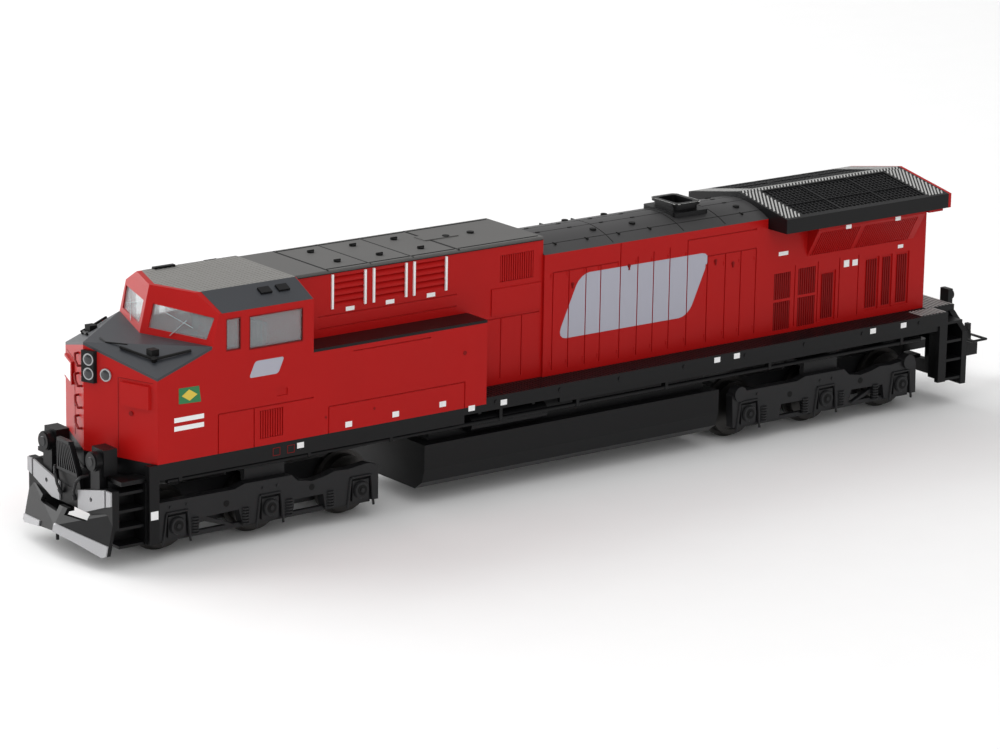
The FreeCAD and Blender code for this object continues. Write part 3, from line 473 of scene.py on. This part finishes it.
# ---------------------------------------------------------------------------
# Shared measures
# ---------------------------------------------------------------------------

def nose_point(y, z, out=0.0):
    """A point on the V-shaped nose front, moved outwards by out."""
    normal = Vector((cab.y1, math.copysign(NOSE_RUN, y), 0)).normalized()
    return Vector((cab.x1 - NOSE_RUN * abs(y) / cab.y1, y, z)) + normal * out


def nose_cover_point(x, y, out):
    """A point on the sloping left half of the nose cover, moved outwards by out."""
    ridge = Vector((cab.x1, 0, nose.z1))
    corner = Vector((cab.x1 - NOSE_RUN, cab.y1, nose.z1 - NOSE_COVER_DROP))
    rear = Vector((OUTER_FOOT.x, cab.y1, nose.z1))
    normal = (corner - ridge).cross(rear - ridge).normalized()
    if normal.z < 0:
        normal = -normal
    z = ridge.z - (normal.x * (x - ridge.x) + normal.y * (y - ridge.y)) / normal.z
    return Vector((x, y, z)) + normal * out


def wing_z(y):
    """Height of the sloping radiator roof at a distance y from the ridge."""
    return wing.z1 - EAVE_DROP * abs(y) / wing.y1


def roof_strip(stock, x, half, y0, y1, low, high, shift=0.0):
    """A strip down the radiator roof's slope, between two heights over it, shifted along by its end."""
    z0, z1 = wing_z(y0), wing_z(y1)
    foot = [(x - half, y0, z0 + low), (x + half, y0, z0 + low),
            (x + half, y0, z0 + high), (x - half, y0, z0 + high)]
    stock.slab(foot, (shift, y1 - y0, z1 - z0))


def crown_z(y):
    """Height of the curved engine hood roof at a distance y from the centre."""
    half = engine_roof.y1
    rise = engine_roof.z1 - engine_roof.z0
    radius = (half * half + rise * rise) / (2 * rise)
    return engine_roof.z1 - radius + math.sqrt(max(0.0, radius * radius - y * y))


LIBRARY = {}


class LocoOperator:
    """What the operators share: the finishes and the sizes."""
    bl_options = {"REGISTER", "UNDO"}

    def materials(self):
        if not LIBRARY:
            LIBRARY.update(make_materials())
        return LIBRARY

    def sizes(self):
        return bpy.context.scene.loco_sizes


class LOCO_OT_finishes(LocoOperator, bpy.types.Operator):
    """Give every CAD node its finish"""
    bl_idname = "loco.finishes"
    bl_label = "CAD Finishes"

    def execute(self, context):
        LIBRARY.update(make_materials())
        for name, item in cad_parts.items():
            key = NODE_FINISH.get(name, "black")
            if name.endswith("_wheelset"):
                key = "wheel"
            elif "sideframes" in name or name.endswith("truck_frame"):
                key = "truck"
            for slot in item.material_slots:
                slot.material = LIBRARY[key]
        return {"FINISHED"}


class LOCO_OT_cab_trim(LocoOperator, bpy.types.Operator):
    """Roof ribs, dark side panels, window seals, wipers and grille of the cab"""
    bl_idname = "loco.cab_trim"
    bl_label = "Cab Trim"

    def execute(self, context):
        use = self.materials()
        ribs = Stock()
        front = cab_roof.x1 - 0.4
        for x in steps(cab.x0 + 0.6, front - 0.6, 1.1):
            half = min(cab_roof.y1 - 0.5, (front - x) * 2.4)
            ribs.box(x - 0.14, x + 0.14, -half, half, cab_roof.z1 - 0.05, cab_roof.z1 + 0.08)
        ribs.piece("cab_roof_ribs", use["cab_roof"])

        panels = Stock()
        top, low = ROOF_SIDE_HIGH, ROOF_SIDE_LOW
        normal = Vector((0, top.z - low.z, low.y - top.y)).normalized()
        outline = [Vector((x, point.y, point.z)) for x, point in
                   ((cab.x0 + 0.2, top), (99.6, top), (98.8, low), (cab.x0 + 0.2, low))]
        panels.slab([p - normal * SUNK for p in outline], normal * (PROUD + SUNK))
        panels.mirror()
        panels.piece("cab_side_panels", use["panel"])

        seals = Stock()
        for window in CAB_WINDOWS:
            border(seals, *window, WINDOW_SEAL, cab.y1 - 0.3, cab.y1 + 0.02)
        seals.mirror()
        seals.piece("window_seals", use["darker_red_and_shade"])

        across, rise = OUTER_FOOT - POST_FOOT, POST_HEAD - POST_FOOT
        out = across.cross(rise).normalized() * 0.25
        out = out if out.x > 0 else -out
        arms = Stock()
        for wiper in WIPERS:
            start, tip = (POST_FOOT + across * share + rise * height + out for share, height in wiper)
            arms.rod(start, tip, 0.09, 6)
        arms.mirror()
        arms.piece("windscreen_wipers", use["silver"])

        grille = Stock()
        fill_grille(grille, CAB_GRILLE, cab.y1 - 0.02, self.sizes().slat_pitch)
        grille.mirror()
        grille.piece("cab_side_grilles", use["shell"])
        return {"FINISHED"}


class LOCO_OT_nose_trim(LocoOperator, bpy.types.Operator):
    """Lamp rings, grab irons, wipers, number plate and panel lines of the nose"""
    bl_idname = "loco.nose_trim"
    bl_label = "Nose Trim"

    def execute(self, context):
        use = self.materials()
        rings = Stock()
        lenses = Stock()
        for y, z, radius, height in NOSE_LAMPS:
            rim = nose_point(y, z, height)
            rings.rod(nose_point(y, z, height - 0.3), rim, radius, 20)
            lenses.rod(rim, nose_point(y, z, height + 0.12), radius * 0.8, 20, radius * 0.6)
        rings.piece("headlight_rings", use["silver"], smooth=True)
        lenses.piece("headlight_lenses", use["lens"], smooth=True)

        # The grab irons take the half-bright shell red as painted shade: they stand in shade on the
        # nose.
        irons = Stock()
        for z in GRAB_IRON_HEIGHTS:
            irons.path([nose_point(-4.6, z + 0.9), nose_point(-4.5, z + 0.8, 0.8),
                        nose_point(-3.2, z - 0.2, 1.0), nose_point(-1.7, z - 1.0, 0.8),
                        nose_point(-1.5, z - 1.0)], 0.27)
        irons.piece("nose_grab_irons", use["darker_red_and_shade"])

        lines = Stock()
        y0, y1, z0, z1 = NOSE_DOOR
        lines.rod(nose_point(y0, z1), nose_point(y1, z1), 0.07, 6)
        lines.rod(nose_point(y0, z0), nose_point(y0, z1), 0.07, 6)
        lines.mirror()
        lines.piece("nose_panel_lines", use["darker_red_and_shade"])

        plate = Stock()
        y0, y1, z0, z1 = NUMBER_FACE
        corners = [nose_point(y, z, 0.58) for y, z in ((y0, z0), (y1, z0), (y1, z1), (y0, z1))]
        plate.slab(corners, nose_point(y0, z0, 0.66) - nose_point(y0, z0, 0.58))
        plate.piece("number_box_face", use["white"])

        # Dark red dots: painted shade in place of small holes in the nose.
        dots = Stock()
        for y, z in NOSE_DARK_DOTS:
            dots.rod(nose_point(y, z), nose_point(y, z, 0.2), 0.5, 12)
        dots.piece("nose_dark_dots", use["darker_red_and_shade"])

        wipers = Stock()
        hub = (112.4, 13.3)
        wipers.path([nose_cover_point(116.0, 6.2, 0.4), nose_cover_point(*hub, 0.5),
                     nose_cover_point(105.2, 16.0, 0.4)], 0.3)
        wipers.rod(nose_cover_point(*hub, 0), nose_cover_point(*hub, 0.9), 0.6, 10)
        block = nose_cover_point(111.6, 11.6, 0.5)
        wipers.box(block.x - 0.9, block.x + 0.9, block.y - 1.0, block.y + 1.0, block.z - 0.6,
                   block.z + 0.7)
        wipers.mirror()
        wipers.path([(116.6, -0.6, nose.z1 + 0.15), (117.4, 3.0, nose.z1 + 0.1),
                     (114.8, 7.0, nose.z1 + 0.15)], 0.16)
        wipers.piece("nose_wipers", use["line"])
        return {"FINISHED"}


class LOCO_OT_blower_trim(LocoOperator, bpy.types.Operator):
    """Grilles, lifting eyes, hatch and seams of the blower hood, and latches of the cabinet"""
    bl_idname = "loco.blower_trim"
    bl_label = "Blower Hood Trim"

    def execute(self, context):
        use = self.materials()
        grille = Stock()
        fill_grille(grille, BLOWER_GRILLE, blower.y1 - 0.28, self.sizes().slat_pitch)
        grille.mirror()
        grille.piece("blower_grilles", use["shell"])

        eyes = Stock()
        top = blower_roof.z1
        for x in (61.4, 50.5, 39.7):
            for y in (4.9, -4.9):
                eyes.rod((x, y, top - 0.02), (x, y, top + 0.35), 0.75, 14)
                eyes.rod((x - 0.8, y, top + 0.35), (x + 0.8, y, top + 0.35), 0.25, 8)
        for x in (28.8, 22.2):
            eyes.rod((x, -0.9, top - 0.02), (x, -0.9, top + 0.35), 0.8, 14)
        eyes.piece("lifting_eyes", use["line"], smooth=True)

        dots = Stock()
        for x, z, radius in CABINET_LATCHES:
            dots.rod((x, cab.y1 - SUNK, z), (x, cab.y1 + 0.06, z), radius, 12)
        dots.piece("cabinet_latches", use["darker_red_and_shade"])

        hatch = Stock()
        hatch.box(26.0, 35.0, -4.0, 0.0, top - SUNK, top + 0.2)
        hatch.piece("roof_hatch", use["roof"])

        seams = Stock()
        half = blower.y1 - 0.4
        for x, width in ROOF_SEAMS:
            seams.box(x - width / 2, x + width / 2, -half, half, top - 0.2, top + 0.03)
        seams.piece("blower_roof_seams", use["line"])

        edge = Stock()
        edge.box(blower.x0 + 0.3, blower.x1, blower.y1 - SUNK, blower.y1 + 0.06, top - 0.75, top - 0.6)
        for x0, x1 in ROOF_EDGE_RUNS:
            edge.box(x0, x1, 9.15, 9.45, top - 0.02, top + 0.08)
        edge.mirror()
        edge.piece("roof_edge_line", use["line"])
        return {"FINISHED"}


class LOCO_OT_engine_trim(LocoOperator, bpy.types.Operator):
    """Latches, hinges and roof fittings of the engine hood"""
    bl_idname = "loco.engine_trim"
    bl_label = "Engine Hood Trim"

    def execute(self, context):
        use = self.materials()
        latches = Stock()
        for x in steps(6.0, -47.0, 8.8):
            if abs(x - STACK_X) > 5.5:
                outer, inner = crown_z(7.7), crown_z(2.0)
                latches.box(x - 0.12, x + 0.12, 6.7, 8.7, outer - 0.25, outer + 0.14)
                latches.box(x - 0.5, x + 0.5, 1.8, 2.2, inner - 0.2, inner + 0.1)
        latches.mirror()
        latches.piece("roof_latches", use["line"])

        caps = Stock()
        for x in (-7.0, -18.0, -48.0):
            for y in (5.0, -5.0):
                z = crown_z(abs(y))
                caps.rod((x, y, z - 0.2), (x, y, z + 0.3), 0.75, 14)
        caps.piece("roof_caps", use["line"], smooth=True)

        hinges = Stock()
        for x in DOOR_LINES:
            for z in (25.6, 41.6 if x < -35 else 45.2):
                hinges.box(x + 0.2, x + 0.6, engine.y1 - SUNK, engine.y1 + 0.12, z - 0.45, z + 0.45)
        hinges.mirror()
        hinges.piece("door_hinges", use["shell"])

        handles = Stock()
        for x, z in DOOR_LATCHES:
            handles.rod((x, engine.y1 - SUNK, z), (x, engine.y1 + 0.1, z), 0.45, 12)
            handles.box(x - 0.16, x + 0.16, engine.y1 - SUNK, engine.y1 + 0.24, z - 0.9, z + 0.2)
        handles.mirror()
        handles.piece("door_latches", use["darker_red_and_shade"])

        # The rim takes the light rib grey as a painted highlight along the stack's top edge.
        rim = Stock()
        rear, front = stack.x0 + 1.1, stack.x1 - 1.1
        half = stack.y1 - 1.0
        top = stack.z1
        for y0, y1 in ((half - 0.3, half - 0.05), (0.05 - half, 0.3 - half)):
            rim.box(rear + 0.7, front - 0.7, y0, y1, top - 0.1, top)
        for x0, x1 in ((rear + 0.05, rear + 0.3), (front - 0.3, front - 0.05)):
            rim.box(x0, x1, 0.7 - half, half - 0.7, top - 0.1, top)
        rim.piece("stack_rim", use["rib"])

        # A near-black plate down inside the stack, 2.6 to 2.8 mm below its top.
        inside = Stock()
        inside.box(stack.x0 + 2.5, stack.x1 - 2.5, 2.4 - stack.y1, stack.y1 - 2.4, top - 2.8, top - 2.6)
        inside.piece("stack_inner_plate", use["line"])
        return {"FINISHED"}


class LOCO_OT_radiator_trim(LocoOperator, bpy.types.Operator):
    """Mesh, tread strips and grilles of the radiator section"""
    bl_idname = "loco.radiator_trim"
    bl_label = "Radiator Trim"

    def execute(self, context):
        use = self.materials()
        sizes = self.sizes()
        front, rear = RADIATOR_FRONT, RADIATOR_REAR
        inner, outer = RADIATOR_INNER, RADIATOR_OUTER
        mesh = Stock()
        for y in steps(inner + 0.4, outer - 0.4, sizes.mesh_pitch):
            z = wing_z(y) - MESH_DROP
            mesh.box(rear, front, y - 0.1, y + 0.1, z - 0.12, z + 0.12)
        for x in steps(rear + 0.5, front - 0.5, sizes.mesh_pitch):
            roof_strip(mesh, x, 0.13, inner, outer, -MESH_DROP - 0.1, 0.08 - MESH_DROP)
        mesh.mirror()
        mesh.piece("radiator_mesh", use["truck"])

        bars = Stock()
        for x in steps(front - BAR_PITCH, rear + BAR_PITCH, BAR_PITCH):
            roof_strip(bars, x, 0.12, inner, outer, -0.2, 0.03)
        y = outer - 6.0
        bars.box(rear, front, y - 0.1, y + 0.1, wing_z(y) - 0.2, wing_z(y) + 0.02)
        bars.mirror()
        bars.piece("radiator_bars", use["truck"])

        treads = Stock()
        strips = ((wing.x0 + 0.6, rear - 0.6, 1.3, outer + 0.6),
                  (front + 0.6, wing.x1 - 0.5, 1.3, outer + 0.6),
                  (wing.x0 + 0.6, wing.x1 - 0.5, 0.05, 1.15))
        for x0, x1, y0, y1 in strips:
            for line in steps(x0 - (y1 - y0) * TREAD_SLANT, x1, sizes.tread_pitch):
                ya = max(y0, y0 + (x0 - line) / TREAD_SLANT)
                yb = min(y1, y0 + (x1 - line) / TREAD_SLANT)
                if yb - ya >= 0.3:
                    roof_strip(treads, line + (ya - y0) * TREAD_SLANT, 0.22, ya, yb, -0.1, 0.08,
                               shift=(yb - ya) * TREAD_SLANT)
        treads.mirror()
        treads.piece("radiator_treads", use["rib"])

        screens = Stock()
        low, high = INTAKE_FOOT, INTAKE_HEIGHT
        y = engine.y1 - 0.5 + INTAKE_SLOPE * 0.9
        for x0, x1 in INTAKES:
            for x in steps(x0 + 0.35, x1 - 0.35, sizes.slat_pitch):
                foot = [(x - 0.16, y - 0.45, low), (x + 0.16, y - 0.45, low),
                        (x + 0.16, y - 0.1, low), (x - 0.16, y - 0.1, low)]
                screens.slab(foot, (0, INTAKE_SLOPE * high, high))
        screens.mirror()
        screens.piece("intake_screens", use["shell"])

        slats = Stock()
        for opening in RADIATOR_GRILLES:
            fill_grille(slats, opening, engine.y1 - 0.04, sizes.slat_pitch, depth=0.26)
        slats.mirror()
        slats.piece("radiator_grilles", use["darker_red_and_shade"])
        return {"FINISHED"}


class LOCO_OT_walkway_trim(LocoOperator, bpy.types.Operator):
    """Tread ribs on the walkways and the rear deck"""
    bl_idname = "loco.walkway_trim"
    bl_label = "Walkway Trim"

    def execute(self, context):
        use = self.materials()
        pitch = self.sizes().rib_pitch
        ribs = Stock()
        top = walkway.z1
        for x in steps(radiator.x0 + 0.5, skirt.x0 - 0.8, pitch):
            ribs.box(x - 0.16, x + 0.16, engine.y1 + 0.2, walkway.y1 - 0.5, top - SUNK, top + 0.1)
        ribs.mirror()
        # The ribs take the slightly lighter truck grey: a faint painted highlight on the rib tops
        # against the black walkway.
        ribs.piece("walkway_ribs", use["truck"])

        rear = Stock()
        for x in steps(-102.5, radiator.x0 + 5.5, pitch):
            rear.box(x - 0.2, x + 0.2, 12.4, 17.0, top - SUNK, top + 0.11)
        rear.mirror()
        for x in steps(deck.x0 + 0.6, radiator.x0 - 0.5, pitch):
            rear.box(x - 0.2, x + 0.2, -12.0, 12.0, top - SUNK, top + 0.1)
        rear.piece("rear_deck_ribs", use["rib"])
        return {"FINISHED"}


class LOCO_OT_front_trim(LocoOperator, bpy.types.Operator):
    """Lamp rings and lenses of both ends, air hoses and grating bars of the front"""
    bl_idname = "loco.front_trim"
    bl_label = "End Trim"

    def execute(self, context):
        use = self.materials()
        lenses = Stock()
        rings = Stock()
        y, z = FRONT_LAMP
        x = front_light.x1
        rings.rod((x - 0.1, y, z), (x + 0.3, y, z), 1.9, 24)
        lenses.rod((x, y, z), (x + 0.45, y, z), 1.4, 24, 0.9)
        y, z = REAR_LAMP
        x = rear_light.x0
        lenses.rod((x + 0.1, y, z), (x - 0.15, y, z), 0.8, 20, 0.6)
        rings.mirror()
        lenses.mirror()
        rings.piece("ditch_light_rings", use["black"], smooth=True)
        lenses.piece("ditch_light_lenses", use["truck"], smooth=True)

        hoses = Stock()
        face = pilot.x1
        hoses.path([(face + ahead, y, z) for ahead, y, z in HOSE_ROUTE], 0.32)
        hoses.rod((face + 0.8, 2.9, 13.2), (face + 0.5, 2.6, 12.2), 0.48, 10)
        hoses.mirror()
        hoses.piece("front_hoses", use["truck"], smooth=True)

        bars = Stock()
        low = GRATING_FOOT
        for share in steps(-1, 1, 0.25):
            y = share * 3.8
            foot = [(124.75, y - 0.18, low), (125.05, y - 0.18, low),
                    (125.05, y + 0.18, low), (124.75, y + 0.18, low)]
            bars.slab(foot, (1.0, -share * 1.6, GRATING_HEIGHT))
        for x, half, z in ((124.788, 3.9, low + 0.4), (125.758, 2.3, low + GRATING_HEIGHT)):
            bars.box(x - 0.05, x + 0.35, -half, half, z - 0.3, z + 0.3)
        bars.piece("grating_bars", use["truck"])
        return {"FINISHED"}


class LOCO_OT_truck_trim(LocoOperator, bpy.types.Operator):
    """Springs, axle box arches, bolts, and dark discs of painted shade for the holes and the axle box
    caps of the truck side frames
    """
    bl_idname = "loco.truck_trim"
    bl_label = "Truck Trim"

    def execute(self, context):
        use = self.materials()
        radius = self.sizes().bolt_radius
        y, hub = SIDE_FRAME_Y, AXLE_HEIGHT
        for body, centre in TRUCK_CENTRES.items():
            springs = Stock()
            for x in (centre + offset for offset in SPRINGS):
                springs.rod((x, y - 0.3, 4.4), (x, y - 0.3, 8.0), 0.55, 10)
                for z in steps(4.6, 7.8, 0.64):
                    springs.rod((x, y - 0.3, z - 0.15), (x, y - 0.3, z + 0.15), 0.95, 12)
            springs.mirror()
            springs.piece(body + "_springs", use["truck"], body)

            guides = Stock()
            # The dark discs are painted shade: on the axle box caps and in place of the side frame
            # holes.
            dark = Stock()
            bolts = Stock()
            for x in (centre + offset for offset in AXLES):
                for start, end in zip(ARCH[:-1], ARCH[1:]):
                    guides.rod((x + start[0], y + 0.1, start[1]), (x + end[0], y + 0.1, end[1]), 0.3, 6)
                guides.rod((x, y + 0.3, hub), (x, y + 0.7, hub), 1.9, 20, 1.7)
                dark.rod((x, y + 0.66, hub), (x, y + 0.76, hub), 1.15, 16)
                bolts.rod((x, y + 0.7, hub), (x, y + 0.9, hub), radius * 1.6, 10)
            guides.mirror()
            guides.piece(body + "_guides", use["truck"], body, smooth=True)

            for x, z in FRAME_HOLES:
                dark.rod((centre + x, y - 0.05, z), (centre + x, y + 0.05, z), 0.7, 14)
            dark.mirror()
            dark.piece(body + "_hole_shade_discs", use["line"], body)

            for x, z in FRAME_BOLTS:
                bolts.rod((centre + x, y - 0.05, z), (centre + x, y + 0.2, z), radius, 10)
            bolts.mirror()
            bolts.piece(body + "_bolts", use["truck"], body)
        return {"FINISHED"}


class LOCO_OT_labels(LocoOperator, bpy.types.Operator):
    """Blank labels and plain markings"""
    bl_idname = "loco.labels"
    bl_label = "Blank Labels"

    def execute(self, context):
        use = self.materials()
        frames = Stock()
        for x, z in SKIRT_FRAMES:
            border(frames, x - 0.8, x + 0.8, z - 0.75, z + 0.75, 0.1, cab.y1 - SUNK, cab.y1 + PROUD)
        frames.mirror()
        frames.piece("skirt_red_frames", use["darker_red_and_shade"])

        labels = Stock()
        for x, z in SKIRT_LABELS:
            side_label(labels, x, z, cab.y1, 1.7, 1.2)
        for x, z in BLOWER_LABELS:
            side_label(labels, x, z, blower.y1 - 0.25)
        for x, z, width, height in RADIATOR_LABELS:
            side_label(labels, x, z, engine.y1, width, height)
        for x, z in INTAKE_LABELS:
            side_label(labels, x, z, radiator.y1, 1.6)
        side_label(labels, *STEP_LABEL, cab.y1, 1.8, 1.8)
        labels.mirror()
        labels.piece("blank_labels", use["white"])

        marks = Stock()
        outline = slanted_mark(-14.5, 37.7, 18.5, 7.0, 0.45, 2.6)
        edges = (9.0, *DOOR_LINES, -60.0)
        for front, rear in zip(edges[:-1], edges[1:]):
            strip = clip_x(outline, rear + 0.14, front - 0.14)
            if len(strip) > 2:
                side_sheet(marks, strip, engine.y1)
        side_sheet(marks, slanted_mark(87.8, 38.0, 3.6, 1.7, 0.45, 0.6), cab.y1)
        marks.mirror()
        marks.piece("plain_markings", use["marking"])

        bars = Stock()
        for z in (27.8, 29.6):
            side_sheet(bars, [(110.4, z), (103.2, z), (103.2, z + 1.0), (110.4, z + 1.0)], cab.y1)
        bars.mirror()
        bars.piece("number_bars", use["white"])

        field = Stock()
        side_sheet(field, [(109.3, 33.4), (103.9, 33.2), (104.4, 36.6), (109.3, 36.7)], cab.y1)
        field.mirror()
        field.piece("green_field", use["green"])

        centre = Stock()
        side_sheet(centre, [(108.6, 35.0), (106.7, 33.8), (104.8, 34.9), (106.8, 36.2)], cab.y1 + 0.02)
        centre.mirror()
        centre.piece("yellow_lozenge", use["yellow"])
        return {"FINISHED"}


class LOCO_OT_stage(LocoOperator, bpy.types.Operator):
    """Pale floor, soft studio light and camera"""
    bl_idname = "loco.stage"
    bl_label = "Stage"

    def execute(self, context):
        floor = Stock()
        half = FLOOR_SIZE / 2
        floor.box(-half, half, -half, half, -20, 0)
        pale = finish_material("floor_pale", (0.86, 0.86, 0.86), 0.8, grain=0.01, bump=0.0)
        stage = [floor.item("floor", pale)]
        for name, place, size, power in LIGHTS:
            data = bpy.data.lights.new(name, "AREA")
            data.size = size
            data.energy = power
            lamp = bpy.data.objects.new(name, data)
            lamp.location = place
            aim = Vector(LIGHT_TARGET) - Vector(place)
            lamp.rotation_euler = aim.to_track_quat("-Z", "Y").to_euler()
            context.scene.collection.objects.link(lamp)
            stage.append(lamp)
        world = bpy.data.worlds.new("studio")
        world.use_nodes = True
        background = world.node_tree.nodes["Background"]
        background.inputs["Color"].default_value = (1, 1, 1, 1)
        background.inputs["Strength"].default_value = WORLD_STRENGTH
        context.scene.world = world

        eye = bpy.data.cameras.new("camera")
        eye.sensor_width = 36.0
        eye.lens = CAMERA_LENS
        eye.clip_start = 0.05
        camera = bpy.data.objects.new("camera", eye)
        azimuth, pitch, roll = (math.radians(v) for v in CAMERA_ANGLES)
        forward = -Vector((math.cos(pitch) * math.cos(azimuth), math.cos(pitch) * math.sin(azimuth),
                           math.sin(pitch)))
        right = forward.cross(Vector((0, 0, 1))).normalized()
        up = right.cross(forward)
        turned_right = right * math.cos(roll) + up * math.sin(roll)
        turned_up = up * math.cos(roll) - right * math.sin(roll)
        turn = Matrix((turned_right, turned_up, -forward)).transposed()
        camera.matrix_world = Matrix.Translation(CAMERA_PLACE) @ turn.to_4x4()
        context.scene.collection.objects.link(camera)
        context.scene.camera = camera
        context.scene.view_settings.view_transform = "Standard"
        stage.append(camera)
        return {"FINISHED"}


PIECES = (LOCO_OT_finishes, LOCO_OT_cab_trim, LOCO_OT_nose_trim, LOCO_OT_blower_trim,
          LOCO_OT_engine_trim, LOCO_OT_radiator_trim, LOCO_OT_walkway_trim, LOCO_OT_front_trim,
          LOCO_OT_truck_trim, LOCO_OT_labels, LOCO_OT_stage)


class LOCO_PT_panel(bpy.types.Panel):
    """Lists the colours, sizes and pieces of the locomotive"""
    bl_idname = "LOCO_PT_panel"
    bl_label = "Locomotive"
    bl_space_type = "VIEW_3D"
    bl_region_type = "UI"
    bl_category = "Locomotive"

    def draw(self, context):
        for group in (context.scene.loco_colours, context.scene.loco_sizes):
            for key in group.__annotations__:
                self.layout.prop(group, key)
        for piece in PIECES:
            self.layout.operator(piece.bl_idname)


CLASSES = (LocoColours, LocoSizes, *PIECES, LOCO_PT_panel)


def register():
    for item in CLASSES:
        bpy.utils.register_class(item)
    bpy.types.Scene.loco_colours = bpy.props.PointerProperty(type=LocoColours)
    bpy.types.Scene.loco_sizes = bpy.props.PointerProperty(type=LocoSizes)


def unregister():
    del bpy.types.Scene.loco_sizes
    del bpy.types.Scene.loco_colours
    for item in reversed(CLASSES):
        bpy.utils.unregister_class(item)


def main():
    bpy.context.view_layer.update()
    register()
    for piece in PIECES:
        group, name = piece.bl_idname.split(".")
        getattr(getattr(bpy.ops, group), name)()


if __name__ == "__main__":
    main()
